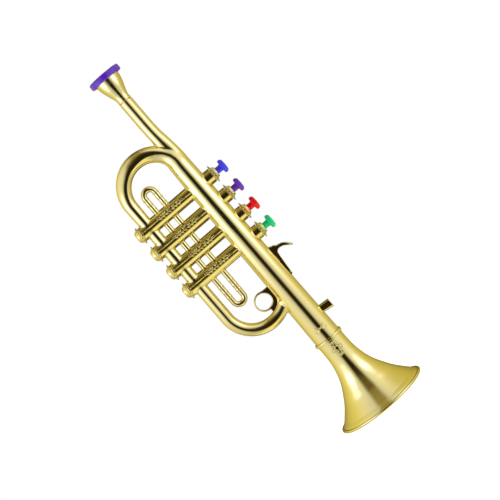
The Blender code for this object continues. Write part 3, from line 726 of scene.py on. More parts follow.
# %% Join distances softly
def soft_min(first, second, fillet):
    reach = np.maximum(fillet - np.abs(first - second), 0.0)
    return np.minimum(first, second) - reach * reach / (4 * np.maximum(fillet, 1e-9))


def soft_max(first, second, fillet):
    return -soft_min(-first, -second, fillet)


def share_of(way, whole):
    # How much of the whole way is done: 0 before its start and 1 after its end
    return np.clip(way / whole, 0.0, 1.0)


print("a fillet of 4 mm fills a corner by", -1000 * soft_min(0.0, 0.0, 0.004), "mm")

# %% [markdown]
# OpenVDB, which comes with Blender, turns a grid of distances into faces. Their corners come
# out near the surface, so each is then pushed along the slope of the distance onto it.

# %% Turn a distance into a mesh
import openvdb

steps_kept = 3.0


def slope_of(distance, u, y, z):
    # The distance at each point and the direction in which it grows
    tiny = 0.00001
    here = distance(u, y, z)
    slope = np.stack([distance(u + tiny, y, z), distance(u, y + tiny, z), distance(u, y, z + tiny)], axis=1)
    return here, (slope - here[:, None]) / tiny


def moulded(name, distance, low, high, step):
    low, high = np.array(low), np.array(high)
    counts = np.ceil((high - low) / step).astype(int) + 1
    across, away, up = [low[axis] + step * np.arange(counts[axis]) for axis in range(3)]
    grid_y, grid_z = np.meshgrid(away, up, indexing="ij")
    values = np.stack([distance(u, grid_y, grid_z) for u in across])
    grid = openvdb.FloatGrid()
    grid.background = steps_kept
    grid.copyFromArray(np.clip(values / step, -steps_kept, steps_kept).astype(np.float32))
    points, quads = grid.convertToQuads(isovalue=0.0)
    points = low + points.astype(float) * step
    for _ in range(4):
        here, slope = slope_of(distance, *points.T)
        push = here / np.maximum((slope * slope).sum(axis=1), 0.25)
        points -= slope * np.clip(push, -step, step)[:, None]
    return mesh_from(name, points, quads.tolist())


# %% [markdown]
# Holes, and the split between the two halves, are cut with booleans, which need closed meshes
# on both sides. All cutters of a piece are cut away at once.

# %% Cut a moulded shape
def carved(mesh, cutters):
    piece = bpy.data.objects.new("carved", mesh)
    bpy.context.scene.collection.objects.link(piece)
    group = bpy.data.collections.new("cutters")
    for cutter in cutters:
        group.objects.link(bpy.data.objects.new("cutter", cutter))
    modifier = piece.modifiers.new("cut", "BOOLEAN")
    modifier.operation = "DIFFERENCE"
    modifier.solver = "MANIFOLD"
    modifier.operand_type = "COLLECTION"
    modifier.collection = group
    result = bpy.data.meshes.new_from_object(piece.evaluated_get(bpy.context.evaluated_depsgraph_get()))
    result.name = mesh.name
    for helper in [piece, *group.objects]:
        bpy.data.objects.remove(helper)
    bpy.data.collections.remove(group)
    return result


# %% [markdown]
# The corners that lie on the moulded surface get their shading direction from the distance
# itself, so that long thin reflections run smoothly over the faces. Corners on a cut keep the
# flat direction of their face.

# %% Shade a moulded shape
on_surface = 0.00003


def values_of(items, name, width, kind=float):
    values = np.empty(len(items) * width, kind)
    items.foreach_get(name, values)
    return values.reshape(-1, 3) if width == 3 else values


def shaded_by(mesh, distance):
    here, slope = slope_of(distance, *values_of(mesh.vertices, "co", 3).T)
    slope /= np.maximum(np.linalg.norm(slope, axis=1), 1e-9)[:, None]
    corners = values_of(mesh.loops, "vertex_index", 1, int)
    loops_per_face = values_of(mesh.polygons, "loop_total", 1, int)
    flat = np.repeat(values_of(mesh.polygons, "normal", 3), loops_per_face, axis=0)
    normals = slope[corners]
    off = (np.abs(here[corners]) > on_surface) | ((normals * flat).sum(axis=1) < 0.8)
    normals[off] = flat[off]
    mesh.shade_smooth()
    mesh.normals_split_custom_set(normals.tolist())
    return mesh


def mould_piece(name, distance, low, high, step, solid):
    mesh = shaded_by(moulded(name, distance, low, high, step), distance)
    return add_gold(name, mesh, (solid,), sharp=0)


# %% [markdown]
# ## The body
# Four shapes make the outside of the body: the main tube with the leadpipe, the bow with the
# bottom run, the four casings, and the slide loop that runs through them. Each gets its own
# distance. The tube is a long cone that shrinks behind the front bow to the thin leadpipe, and
# the shrinking part rides up on the leadpipe, so that the bow stands proud below it.

# %% Shape the main tube
tube_start_radius = 0.01245
tube_bow_radius = 0.00945
bow_radius = 0.0277
rear_bow_height = last_valve - 0.0401
front_bow_height = first_valve + 0.0236
flare_end = front_bow_height + 0.0466
leadpipe_end = cup_base - fit_gap
flare_shares = (
    (0.08, 0.68, 0.44), (0.17, 0.34, 0.88), (0.31, 0.13, 1.00), (0.45, 0.02, 0.87),
    (0.59, 0.0, 0.61), (0.73, 0.0, 0.30), (0.87, 0.0, 0.09),
)
flare_lift = 0.0027

# The tube's radius by height, and how far its axis is lifted where the leadpipe grows out
radii = [(tube_start, tube_start_radius), (front_bow_height, tube_bow_radius)]
lifts = [(tube_start, 0.0), (front_bow_height, 0.0)]
for length, growth, lift in flare_shares:
    height = front_bow_height + (flare_end - front_bow_height) * length
    radii.append((height, leadpipe_radius + (tube_bow_radius - leadpipe_radius) * growth))
    lifts.append((height, flare_lift * lift))
radii += [(flare_end, leadpipe_radius), (leadpipe_end, leadpipe_radius)]
lifts += [(flare_end, 0.0), (leadpipe_end, 0.0)]
tube_radius, tube_lift = smooth_curve(radii), smooth_curve(lifts)
print("tube radius at the first valve:", round(float(tube_radius(first_valve)), 5))

# %% [markdown]
# A point's distance to the tube is its distance to the axis less the radius there. The leadpipe
# runs on inside the shrinking part, and a fillet that grows above the front bow joins the two.

# %% The distance to the main tube
fillet_grows_over = 0.012


def tube_distance(u, y, z):
    side = np.hypot(u - tube_lift(z), y) - tube_radius(z)
    leadpipe = np.hypot(u, y) - leadpipe_radius
    side = soft_min(side, leadpipe, 0.0012 * share_of(z - front_bow_height, fillet_grows_over))
    return soft_max(soft_max(side, tube_start - z, mellow), z - leadpipe_end, 0.0006)


print("on the tube's axis the wall is", -round(float(tube_distance(0.0, 0.0, first_valve)), 5), "away")

# %% [markdown]
# The bow leaves the main tube at its full width, slims down within a quarter of a turn and
# runs back under the valves. The angle is zero at the bow's outermost point, a right angle
# at the main tube and minus a right angle at the bottom run. Half way round, the front bow's
# ridge steps inwards, where two parts of the mould meet, and the dark line steps with it.

# %% The distance to the bow and the bottom run
def curve_by_turn(pairs):
    return smooth_curve([(math.radians(turn), value) for turn, value in pairs])


run_depth = 2 * bow_radius
run_tube_radius = 0.0057
front_bow_radius = curve_by_turn((
    (-90, 0.0062), (-45, 0.00675), (0, 0.0071), (45, 0.00712), (60, 0.00748), (71, 0.00820),
    (79, 0.00900), (85, 0.00938), (90, tube_bow_radius),
))
run_radius = smooth_curve(((first_valve, run_tube_radius), (front_bow_height, 0.0062)))
ridge_shift = curve_by_turn((
    (-90, 0.0), (-65, -0.0008), (-35, -0.0017), (-12, -0.0017), (2, -0.0010), (18, 0.0005),
    (38, 0.0014), (62, 0.0012), (90, 0.0),
))


def bow_distance(u, y, z):
    beyond = z - np.clip(z, rear_bow_height, front_bow_height)
    turn = np.arctan2(u + bow_radius, np.abs(beyond))
    width = np.where(z > front_bow_height, front_bow_radius(turn), run_radius(z))
    width = np.where((beyond == 0.0) & (u > -bow_radius), 0.5 * run_tube_radius, width)
    outward = np.hypot(u + bow_radius, beyond) - bow_radius
    ridge = np.where(z > front_bow_height, ridge_shift(turn), 0.0)
    outward = outward - ridge * np.clip(1.0 - (outward / width) ** 2, 0.0, 1.0)
    return np.hypot(outward, y) - width


print("front bow radius half way round:", round(float(front_bow_radius(0.0)), 5))

# %% [markdown]
# The casings are straight posts through the tube and the run. The slide loop is two thin bars
# with a half circle at each end, and small raised beads on its four ends.

# %% The distance to the casings and the slide
casing_radius = 0.0066
casing_top = float(tube_radius(last_valve)) + 0.0045
casing_bottom = run_depth + 0.0078
slide_depth = run_depth - 0.0188
slide_half_spacing = 0.0053
slide_radius = 0.0026
slide_front = first_valve + 0.0213
slide_rear = last_valve - 0.0328
slide_bead_rise, slide_bead_length = 0.0003, 0.0007
bead_heights = [slide_front - share for share in (0.0011, 0.0067, 0.0121)]
bead_heights += [slide_rear + share for share in (0.0057, 0.0113, 0.0170)]


def casing_distance(u, y, z):
    nearest = np.min([np.abs(z - height) for height in valve_heights.values()], axis=0)
    side = np.hypot(y, nearest) - casing_radius
    return soft_max(side, soft_max(u - casing_top, -casing_bottom - u, 0.0005), mellow)


def slide_distance(u, y, z):
    beyond = z - np.clip(z, slide_rear, slide_front)
    width = slide_radius
    for height in bead_heights:
        width = width + slide_bead_rise * np.exp(-((z - height) / slide_bead_length) ** 2)
    return np.hypot(np.hypot(u + slide_depth, beyond) - slide_half_spacing, y) - width


print("casings are", round(casing_top + casing_bottom, 4), "tall")

# %% [markdown]
# All four are joined here. The fillet between tube and bow is widest in the crotch above the
# front bow. The casings and the slide meet the tubes with a small, even fillet.

# %% Join the distances
def body_distance(u, y, z):
    crotch = 0.0016 * share_of(z - front_bow_height, fillet_grows_over)
    crotch = crotch + 0.0020 * share_of(rear_bow_height - z, 0.006)
    shape = soft_min(tube_distance(u, y, z), bow_distance(u, y, z), crotch)
    shape = soft_min(shape, casing_distance(u, y, z), 0.0009 - 0.0004 * share_of(u, 0.004))
    return soft_min(shape, slide_distance(u, y, z), 0.0008)


print("casing surface is", round(float(body_distance(casing_top + 0.001, 0.0, first_valve)), 5), "below")

# %% [markdown]
# ## Inside the body
# The body is hollow, as a moulding is, and the passages are cut out of it: the wind chamber,
# the way down to the bell, and the bow. A wall between chamber and bell, the bulkhead, makes
# the air pass through the valves. Each passage is a round tube swept along a line.

# %% Sweep the passages
shell_wall = 0.0016
bulkhead = last_valve - 0.0204
bulkhead_half = 0.0015
spigot_radius = bell_neck_radius - bell_wall - fit_gap
spigot_bore = spigot_radius - 0.0014


def swept(name, path, radii):
    # A round tube along (u, height) points
    path, radii = np.array(path), np.array(radii)[:, None]
    along = np.gradient(path, axis=0)
    along /= np.linalg.norm(along, axis=1)[:, None]
    turns = math.tau * np.arange(bore_sides) / bore_sides
    reach = radii * np.cos(turns)
    u = path[:, :1] - along[:, 1:] * reach
    z = path[:, 1:] + along[:, :1] * reach
    return skin(name, np.stack([u, radii * np.sin(turns), z], axis=-1))


def tube_bores(heights):
    return [float(tube_radius(z)) - shell_wall for z in heights]


chamber = np.linspace(bulkhead + bulkhead_half, leadpipe_end + 0.004, 40)
low = (tube_start - 0.016, tube_start + 0.0016, tube_start + 0.0064, bulkhead - bulkhead_half)
bow, bow_bores = [], []
bow_arcs = ((True, front_bow_height, 38, -90, 24), (False, rear_bow_height, -90, 58, 26))
for at_front, middle, start, end, count in bow_arcs:
    for turn in np.radians(np.linspace(start, end, count)):
        across, beyond = bow_radius * math.sin(turn), bow_radius * math.cos(turn)
        bow.append((across - bow_radius, middle + beyond if at_front else middle - beyond))
        bow_bores.append(float(front_bow_radius(turn) if at_front else run_tube_radius) - shell_wall)
cutters = [
    swept("chamber", [(float(tube_lift(z)), z) for z in chamber], tube_bores(chamber)),
    swept("bell_way", [(0.0, z) for z in low], [spigot_bore, spigot_bore] + tube_bores(low[2:])),
    swept("bow_way", bow, bow_bores),
]
print("passages to cut:", [cutter.name for cutter in cutters])

# %% [markdown]
# Each valve has a stepped bore. The pad closes the narrow port, the spring and the reed's plug
# sit in the wider bores under it, and the cap's skirt goes in at the top.

# %% Turn the valve bores
wide_bore, port_bore, low_bore = 0.0047, 0.0032, 0.0040
seat_height = casing_top - 0.0043
ledge_height = run_depth - 0.0113
bore_end = 0.004


def valve_bore(height):
    return turned("bore", [
        (low_bore, -casing_bottom - bore_end), (low_bore, -ledge_height), (wide_bore, -ledge_height),
        (wide_bore, -seat_height), (port_bore, -seat_height), (port_bore, 0.0), (wide_bore, 0.0),
        (wide_bore, casing_top + bore_end),
    ], bore_sides, along="x", height=height)


cutters += [valve_bore(height) for height in valve_heights.values()]
print("cutters in all:", len(cutters))

# %% [markdown]
# ## The two halves
# The spigot that carries the bell is joined to the body, the passages are cut, and the body is
# split along its middle plane, where the moulder's parting line is. The halves leave a hair's
# gap between them.

# %% Mould the halves
seam_gap = 0.00012
body_depth = 0.016
body_step = 0.00048


def with_spigot(u, y, z):
    spigot = soft_max(np.hypot(u, y) - spigot_radius, z - tube_start - 0.0016, crisp)
    spigot = soft_max(spigot, tube_start - spigot_length - z, mellow)
    return np.minimum(body_distance(u, y, z), spigot)


def block_behind(side):
    # A block that fills everything beyond the seam
    outline = [(-0.08, -0.01), (0.05, -0.01), (0.05, 0.40), (-0.08, 0.40)]
    seam, beyond = -side * seam_gap / 2, -side * 0.05
    points = [(u, y, z) for y in sorted((seam, beyond)) for u, z in outline]
    faces = [(0, 1, 2, 3), (7, 6, 5, 4)] + [(i, (i + 1) % 4, (i + 1) % 4 + 4, i + 4) for i in range(4)]
    return mesh_from("block", points, faces)


body_low = (-casing_bottom - 0.002, -body_depth, tube_start - spigot_length - 0.002)
body_high = (casing_top + 0.002, body_depth, leadpipe_end + 0.002)
body = carved(moulded("body", with_spigot, body_low, body_high, body_step), cutters)
for side, name, solid in ((-1, "front_half", "front_shell"), (1, "back_half", "rear_shell")):
    half = carved(body.copy(), [block_behind(side)])
    half.name = name
    add_gold(name, shaded_by(half, with_spigot), (solid,), sharp=0)

# %% [markdown]
# ## Caps
# Each casing is closed by two screw caps, which look knurled so that fingers could turn them.
# The knurling is a fine scallop round the thin edge only: its hollows fade out where the radius
# is smaller. The top cap's skirt goes into the casing. Above the edge it rises as a steep cone
# to a small lip, which mirrors the room and not the key.

# %% Draw the top cap
cap_edge_radius = 0.0085
cap_seat = 0.0003
crown_rise = 0.0048
skirt_height = casing_top - 0.0042
stem_radius = 0.0030
scallop_count = 20
scallop_depth, scallop_reach = 0.0007, 0.0016


def scalloped(angle, radius, distance):
    share = np.clip(1.0 - np.abs(radius - cap_edge_radius) / scallop_reach, 0.0, 1.0)
    return radius - scallop_depth * share * np.abs(np.sin(scallop_count * angle / 2)) ** 0.7


seat, edge, crown = casing_top + cap_seat, casing_top + 0.0007, casing_top + crown_rise
guide, skirt_radius = stem_radius + fit_gap, 0.0044
top_cap_outline = rounded([
    (guide, skirt_height), (skirt_radius, skirt_height, soft),
    (skirt_radius, seat), (casing_radius, seat),
    (casing_radius + 0.0003, edge - 0.0002, crisp), (cap_edge_radius, edge, crisp),
    (cap_edge_radius, edge + 0.0008, crisp), (0.0072, edge + 0.0011, soft),
    (0.0058, edge + 0.0018, mellow), (0.0048, crown - 0.0012, crisp), (0.0050, crown - 0.0007, crisp),
    (0.0048, crown - 0.0002, soft), (0.0042, crown, crisp), (guide, crown, crisp),
], steps=3)
print("top caps rise", crown_rise, "over the casings")

# %% [markdown]
# The bottom cap is a plug with the same edge. It narrows in a few soft steps to a boss with a
# dimple in its tip, as the screw caps of a real trumpet do.

# %% Turn the caps
edge, tip = 0.0016, 0.0060
plug_radius, plug_top, almost_zero = 0.0037, -0.0022, 0.0001
down_the_valve = rounded([
    (almost_zero, plug_top), (plug_radius, plug_top, soft),
    (plug_radius, cap_seat), (casing_radius, cap_seat),
    (casing_radius + 0.0001, edge - 0.0003, 0.0011), (cap_edge_radius, edge - 0.0001, crisp),
    (cap_edge_radius, edge + 0.0006, soft), (0.0065, 0.0030, mellow), (0.0054, 0.0042, mellow),
    (0.0051, 0.0051, 0.0005), (0.0036, tip, 0.0005), (0.0030, tip, crisp),
    (0.0024, tip - 0.0006, mellow), (almost_zero, tip - 0.0006),
], steps=3)
bottom_cap_outline = [(radius, -casing_bottom - distance) for radius, distance in down_the_valve]
for number, height in valve_heights.items():
    for name, solid, outline, closed in (
        (f"cap_top_{number}", f"top_cap_{number}", top_cap_outline, True),
        (f"cap_low_{number}", f"bottom_cap_{number}", bottom_cap_outline, False),
    ):
        add_gold(name, turned(name, outline, cup_sides, "x", height, scalloped, closed), (solid,))

# %% [markdown]
# ## Keys
# A key is one moulding: a nearly flat button, a stem that slides in the cap, and a thinner rod
# that pushes the pad off its seat. It rides on its own body, so it goes down when it is pressed.
# At rest the button stands over the cap by the key's travel and a little more.

# %% Turn the keys
key_radius = 0.0063
key_travel = 0.0040
stop_gap = 0.0006
rod_radius = 0.0016
dome_radius, dome_rise = key_radius - 0.0012, 0.0004
key_colours = {1: "blue", 2: "violet", 3: "red", 4: "green"}

under = casing_top + crown_rise + fit_gap + key_travel + stop_gap
edge_top = under + 0.0042
rod_end = -(seat_height + fit_gap) - 0.0014
shank = rounded([
    (0.0001, rod_end), (rod_radius, rod_end, soft), (rod_radius, casing_top - 0.0082, soft),
    (stem_radius, skirt_height, mellow), (stem_radius, under, 0.0012),
    (key_radius, under + 0.0003, 0.0013), (key_radius, edge_top - 0.0001, 0.0015),
])
dome = []
for share in np.linspace(0.0, 0.99, 12):
    radius = dome_radius * (1.0 - share)
    dome.append((radius + 0.00005, edge_top + dome_rise * (1.0 - (radius / dome_radius) ** 2)))
key_outline = shank + dome
for number, height in valve_heights.items():
    colour = key_colours[number]
    button = turned(f"{colour}_button", key_outline, key_sides, "x", height)
    add_piece(f"{colour}_button", button, key_plastics[number], body=f"{colour}_key",
              stands_for=(f"key_{number}",), sharp=60.0)

# %% [markdown]
# ## Hook, finger ring and post
# The hook for the little finger is a curled ribbon on a wedge that lies along the tube. Its
# outline follows a few shares of its height and of its lean towards the bell, from the tube to
# the hook's tip.

# %% Draw the hook's line
hook_top = last_valve - casing_radius - 0.0120
hook_low = hook_top - 0.0287
hook_height = 0.0174
hook_lean = 0.0078
lean_at = smooth_curve((
    (0.00, -0.04), (0.12, 0.15), (0.28, 0.29), (0.45, 0.34),
    (0.62, 0.42), (0.77, 0.62), (0.90, 0.88), (1.00, 1.08),
))
hook_line = [
    (float(tube_radius(hook_top)) + hook_height * rise, hook_top - hook_lean * float(lean_at(rise)))
    for rise in np.linspace(0.0, 1.0, 21)
]


def line_distance(u, z, line):
    # The distance to a line of points, and how far along the line the nearest place is
    nearest = np.full(np.broadcast(u, z).shape, 1.0)
    place = np.zeros_like(nearest)
    for index, ((u0, z0), (u1, z1)) in enumerate(zip(line, line[1:])):
        run_u, run_z = u1 - u0, z1 - z0
        share = np.clip(((u - u0) * run_u + (z - z0) * run_z) / (run_u ** 2 + run_z ** 2), 0.0, 1.0)
        away = np.hypot(u - u0 - share * run_u, z - z0 - share * run_z)
        place = np.where(away < nearest, (index + share) / (len(line) - 1), place)
        nearest = np.minimum(away, nearest)
    return nearest, place


print("the hook's tip is at", [round(value, 4) for value in hook_line[-1]])

# %% [markdown]
# The ribbon gets thinner and narrower towards its tip. A distance to the line, rounded at the
# edges, moulds it in one piece with its wedge. It ends a hair above the tube that it sits on.

# %% Mould the hook
hook_width = 0.0070
touch_gap = 0.00005
hook_step, fine_step = 0.00032, 0.00030


def hook_distance(u, y, z):
    flat, along = line_distance(u, z, hook_line)
    ribbon = flat - (0.0015 - 0.0005 * along ** 3)
    rise = share_of(z - hook_low, hook_top - hook_low)
    wedge = u - tube_radius(z) - 0.0016 - 0.0028 * rise ** 1.3
    wedge = soft_max(soft_max(wedge, hook_low - z, 0.0016), z - hook_top, 0.0010)
    half_width = hook_width / 2 - 0.0010 * share_of(along - 0.75, 0.25) ** 2
    whole = soft_max(soft_min(ribbon, wedge, 0.0040), np.abs(y) - half_width, mellow)
    return np.maximum(whole, touch_gap - tube_distance(u, y, z))


mould_piece("hook", hook_distance, (0.006, -0.0045, hook_low - 0.001), (0.030, 0.0045, hook_top + 0.004),
            hook_step, "pinky_hook")

# %% [markdown]
# The finger ring hangs in the corner between the tube and the rear bow. A flat web as thick as
# the ring joins it to both.

# %% Mould the finger ring
ring_outside, ring_inside = 0.0088, 0.0074
ring_middle = (ring_outside + ring_inside) / 2
ring_half_depth = 0.0022
ring_height = rear_bow_height - 0.0094
ring_u = -(float(tube_radius(ring_height)) + 0.0013 + ring_outside)


def ring_distance(u, y, z):
    radius = np.hypot(u - ring_u, z - ring_height)
    band = np.abs(radius - ring_middle) - (ring_outside - ring_inside) / 2
    web = soft_max(z - ring_height - ring_middle, ring_u - u, mellow)
    inside_bow = np.hypot(u + bow_radius, z - rear_bow_height) - bow_radius
    web = np.maximum(web, np.where(z < rear_bow_height, inside_bow, -0.01))
    web = np.maximum(web, ring_inside - radius)
    whole = soft_max(soft_min(band, web, 0.0010), np.abs(y) - ring_half_depth, 0.0009)
    return np.maximum(whole, touch_gap - np.minimum(tube_distance(u, y, z), bow_distance(u, y, z)))


mould_piece("ring_and_web", ring_distance, (ring_u - 0.010, -0.003, ring_height - 0.012),
            (-0.008, 0.003, ring_height + 0.010), fine_step, "finger_ring")

# %% [markdown]
# The short post near the bell would hold a music clip. It is a square peg with very round
# corners that widens a little towards its end, leans to the bell and has a small hollow in its
# end face.

# %% Mould the post
post_height = tube_start + fit_gap + 0.0214
post_length = 0.0097
post_foot = float(tube_radius(post_height))
post_half_width, post_spread, post_lean = 0.0037, 0.0003, 0.0010
hollow_radius, hollow_depth = 0.0024, 0.0012


def post_distance(u, y, z):
    rise = share_of(u - post_foot, post_length)
    middle = post_height - post_lean * rise
    flat = (np.abs(y) ** 4 + np.abs(z - middle) ** 4) ** 0.25
    side = flat - (post_half_width + post_spread * rise)
    stub = soft_max(soft_max(side, u - post_foot - post_length, 0.0007), post_foot / 2 - u, crisp)
    bottom = post_foot + post_length - hollow_depth - u
    hollow = soft_max(np.hypot(y, z - middle) - hollow_radius, bottom, 0.0006)
    return np.maximum(soft_max(stub, -hollow, mellow), touch_gap - tube_distance(u, y, z))


mould_piece("post", post_distance, (0.005, -0.005, post_height - 0.006), (0.024, 0.005, post_height + 0.005),
            fine_step, "lyre_post")

# %% [markdown]
# ## Relief
# A thin rib with buds and leaves runs down every casing, a rosette decorates the bell's neck
# and a small cross of leaves lies on the tube beside it. They are scrollwork of the traditional
# kind, in very low relief. Each is a set of strokes: points across and along the surface in
# millimetres, and the widths that the stroke passes through.

# %% Draw strokes
def flowing(points, steps=8):
    # A smooth stroke that starts and ends at the outer points and is pulled towards the others
    line = []
    for share in np.linspace(0.0, 1.0, steps + 1):
        pulled = np.array(points, float)
        while len(pulled) > 1:
            pulled = pulled[:-1] + (pulled[1:] - pulled[:-1]) * share
        line.append(tuple(pulled[0]))
    return line


def curl(across, along, reach, start, turns, fade=0.8, steps=16):
    # A spiral that winds inwards by this share; the start is an angle in degrees
    points = []
    for step in range(steps + 1):
        share = step / steps
        angle = math.radians(start) + math.tau * turns * share
        near = reach * (1.0 - fade * share)
        points.append((across + near * math.cos(angle), along + near * math.sin(angle)))
    return points


print("a flowing stroke has", len(flowing([(0, 0), (1, 0), (1, 1)])), "points")

# %% [markdown]
# A stroke is a rounded bead, partly sunk into the surface, and all strokes of an ornament are
# moulded together, so that they flow into one another where they cross.

# %% Mould a relief from strokes
millimetre = 0.001
highest_stroke = 0.50
relief_sink = 0.00025
relief_step = 0.00018
relief_margin = 0.0010


def stroke_distance(strokes, u, y, z):
    nearest = np.full(np.broadcast(u, y, z).shape, 1.0)
    for points, widths in strokes:
        for start, end, first, last in zip(points, points[1:], widths, widths[1:]):
            run = np.subtract(end, start)
            from_start = (u - start[0], y - start[1], z - start[2])
            share = sum(gap * step for gap, step in zip(from_start, run)) / max(run @ run, 1e-12)
            share = np.clip(share, 0.0, 1.0)
            away = np.sqrt(sum((gap - share * step) ** 2 for gap, step in zip(from_start, run)))
            nearest = np.minimum(nearest, away - first - share * (last - first))
    return nearest


def relief(name, strokes, lay, surface):
    laid = []
    for points, widths in strokes:
        widths = np.interp(np.linspace(0.0, 1.0, len(points)), np.linspace(0.0, 1.0, len(widths)), widths)
        spots = []
        for (across, along), width in zip(points, widths):
            depth = width - min(0.85 * width, highest_stroke)
            spots.append(lay(across * millimetre, along * millimetre, depth * millimetre))
        laid.append((spots, widths * millimetre))
    spots = np.array([spot for stroke in laid for spot in stroke[0]])
    low, high = spots.min(axis=0) - relief_margin, spots.max(axis=0) + relief_margin

    def distance(u, y, z):
        return np.maximum(stroke_distance(laid, u, y, z), -relief_sink - surface(u, y, z))

    return shaded_by(moulded(name, distance, low, high, relief_step), distance)


def on_both_sides(name, mesh, axis, height=0.0, ending=""):
    # A copy on the photographed side and one on the other side, half a turn about the axis away
    for side, half_turn in (("front", 0.0), ("back", math.pi)):
        copy = mesh.copy()
        copy.transform(Matrix.Translation((0.0, 0.0, height)) @ Matrix.Rotation(half_turn, 4, axis))
        add_gold(f"{name}_{side}{ending}", copy, sharp=0)


# %% [markdown]
# The vine climbs along a straight rib that lies a little towards the mouthpiece from the
# casing's middle and leans very slightly. Three strokes side by side, each lower than the one
# before, slope the rib towards the bell, where the light comes from. Sprigs with a bud grow on
# the mouthpiece's side and small leaves on the bell's side.

# %% Draw the vine
rib = -0.9


def sprig(along, reach, rise, bud):
    # A stem that sweeps out from the rib and ends in a bud, with a small leaf at its bend
    bend = (rib - 0.75 * reach, along + 0.15 * rise)
    stem = flowing([(rib, along), bend, (rib - reach, along + rise)])
    leaf = flowing([stem[4], (bend[0], bend[1] - 0.3), (bend[0] - 0.9, bend[1] - 0.5 * rise / abs(rise))], 5)
    return [(stem, (0.32, 0.34, 0.40, bud, 0.75 * bud)), (leaf, (0.28, 0.46, 0.22))]


vine_strokes = []
for beside, width in ((0.0, 0.52), (0.36, 0.36), (0.72, 0.20)):
    line = [(-0.80 + beside, -7.0), (-1.45 + beside, -1000 * casing_bottom + 0.2)]
    vine_strokes.append((line, (width, width)))
for sprig_shape in (
    (-20.0, 0.6, 2.1, 0.90), (-24.2, 2.2, 3.2, 0.85), (-28.6, 1.7, 2.2, 0.62), (-34.0, 2.4, 3.0, 0.90),
    (-37.6, 1.8, 1.6, 0.60), (-38.2, 1.9, -2.4, 0.85), (-42.4, 1.0, -2.4, 0.95),
):
    vine_strokes += sprig(*sprig_shape)
for along in (-22.8, -26.2, -29.6, -33.0, -36.4, -39.8, -43.2):
    side_leaf = flowing([(rib, along), (rib + 1.2, along + 0.2), (rib + 1.6, along + 1.8)])
    vine_strokes.append((side_leaf, (0.28, 0.48, 0.42, 0.20)))
print("vine drawn with", len(vine_strokes), "strokes")

# %% [markdown]
# The vine is moulded once, and turned copies of it lie on the front and the back of each casing.

# %% Lay the vines
def lay_on_casing(across, along, depth):
    angle = across / casing_radius
    radius = casing_radius - depth
    return along, -radius * math.cos(angle), -radius * math.sin(angle)


vine = relief("vine", vine_strokes, lay_on_casing, lambda u, y, z: np.hypot(y, z) - casing_radius)
for number, height in valve_heights.items():
    on_both_sides("vine", vine, "X", height, f"_{number}")

# %% [markdown]
# The rosette is a small ring in a ring of petals, with an arc over it, a bud below it and a
# curl on each side. Four leaves that cross make the small ornament on the tube. Only one half
# or one quarter of each is drawn, and the rest is mirrored.

# %% Draw the rosette and the cross of leaves
def with_copy(strokes, across_sign, along_sign):
    # The strokes and the same strokes mirrored across, along or both
    copies = []
    for points, widths in strokes:
        copies.append(([(across_sign * across, along_sign * along) for across, along in points], widths))
    return strokes + copies


petal_count, petal_reach, petal_size = 8, 3.5, 0.85
rosette_strokes = [(curl(0.0, 0.0, 2.0, 0, 1.0, fade=0.0), (0.52, 0.52))]
for number in range(petal_count):
    angle = math.tau * (number + 0.5) / petal_count
    tip = (petal_reach * math.cos(angle), petal_reach * math.sin(angle))
    rosette_strokes.append(([(0.7 * tip[0], 0.7 * tip[1]), tip], (0.5 * petal_size, petal_size)))
rosette_strokes += [
    (flowing([(4.1, -2.6), (6.0, 0.0), (4.1, 2.6)]), (0.34, 0.60, 0.34)),
    (flowing([(-4.3, -2.0), (-6.2, 0.0), (-4.3, 2.0)]), (0.34, 0.60, 0.34)),
    ([(-6.2, 0.0), (-7.7, 0.0)], (0.45, 0.90)),
]
rosette_strokes += with_copy([
    (curl(0.6, 6.2, 1.8, 160, 1.2), (0.56, 0.60, 0.80)),
    (flowing([(2.4, 4.2), (1.6, 5.0), (-0.6, 4.5)]), (0.36, 0.60, 0.36)),
    (flowing([(-1.0, 6.6), (-2.0, 6.9), (-3.0, 6.0)]), (0.36, 0.56, 0.24)),
], -1, -1)
cross_leaf = [
    (flowing([(0.4, 0.3), (2.4, 1.0), (4.0, 2.6)]), (0.42, 0.70, 0.95, 0.70)),
    (flowing([(3.9, 2.4), (5.4, 2.2), (6.0, 0.9)]), (0.40, 0.56, 0.40)),
]
cross_strokes = [([(0.0, -0.01), (0.0, 0.01)], (0.70, 0.70))]
cross_strokes += with_copy(with_copy(cross_leaf, 1, -1), -1, 1)
print("rosette drawn with", len(rosette_strokes), "strokes, cross with", len(cross_strokes))

# %% [markdown]
# Both lie on a round surface whose radius changes with the height, the bell's neck or the tube.

# %% Lay the rosettes and the crosses
def lay_around(radius_at, middle):
    def lay(across, along, depth):
        radius = float(radius_at(middle + along)) - depth
        angle = across / radius
        return radius * math.sin(angle), -radius * math.cos(angle), middle + along
    return lay


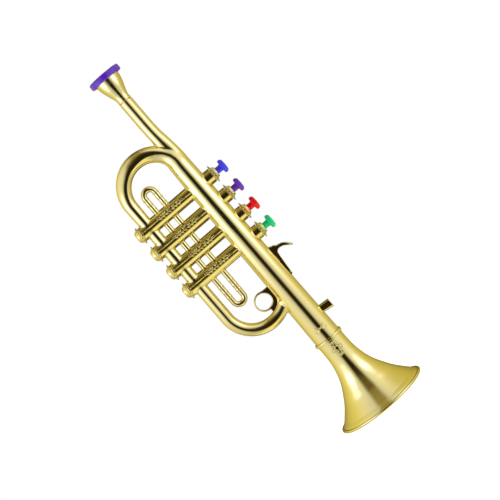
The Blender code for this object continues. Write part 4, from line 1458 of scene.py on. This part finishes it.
for name, strokes, radius_at, middle in (
    ("rosette", rosette_strokes, bell_radius, bell_height - 0.0088),
    ("leaf_cross", cross_strokes, tube_radius, tube_start + 0.0111),
):
    def surface(u, y, z):
        return np.hypot(u, y) - radius_at(z)

    on_both_sides(name, relief(name, strokes, lay_around(radius_at, middle), surface), "Z")

# %% [markdown]
# ## Return springs
# A pressed key squeezes its coil, which the rigid solid can't show. Each spring is wound again
# with a finer wire over the length of its solid, which it hides; it rides on no body and stays
# where the solid stood.

# %% Wind the springs
spring_turns = 4
spring_radius = 0.0031
spring_wire = 0.00035


def coil(name, low, high, height, steps=96, sides=10):
    share = np.linspace(0.0, 1.0, steps + 1)[:, None]
    around = math.tau * np.arange(sides)[None, :] / sides
    turn = math.tau * spring_turns * share
    radius = spring_radius + spring_wire * np.cos(around)
    u = low + (high - low) * share + spring_wire * np.sin(around)
    return skin(name, np.stack([u, radius * np.cos(turn), radius * np.sin(turn) + height], axis=-1))


for number, height in valve_heights.items():
    name = f"{key_colours[number]}_spring"
    low, high = [corner.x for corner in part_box(f"return_spring_{number}")]
    wire = coil(name, low - axis_x + spring_wire, high - axis_x - spring_wire, height)
    spring = dressed(name, wire, spring_steel, 60.0)
    start, end = (low, 0.0, height), (high, 0.0, height)
    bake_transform(spring)
    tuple(start)
    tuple(end)
    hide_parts(f"return_spring_{number}")

# %% [markdown]
# ## Parts inside the casings
# The pads, plugs and reeds are shown as they were modelled, since their shapes are right. They
# only get the finishes mixed above.

# %% Finish the inner parts
inner_finishes = {"valve_pad": pad_rubber, "reed_block": block_plastic, "reed": reed_brass}
for kind, finish in inner_finishes.items():
    for number in valve_heights:
        for holder in frame["nodes"][f"{kind}_{number}"].material_slots:
            holder.material = finish
print("inner parts finished:", len(inner_finishes) * len(valve_heights))

# %% [markdown]
# ## Finish
# The box of the solids and the box of the dressed trumpet are printed, to show whether the
# looks stay within the size of the part.

# %% Print the sizes
looks_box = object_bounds()
boxes = {"cad": [list(corner) for corner in cad_box], "visual": [list(corner) for corner in looks_box]}
print("solids", boxes["cad"], "looks", boxes["visual"])
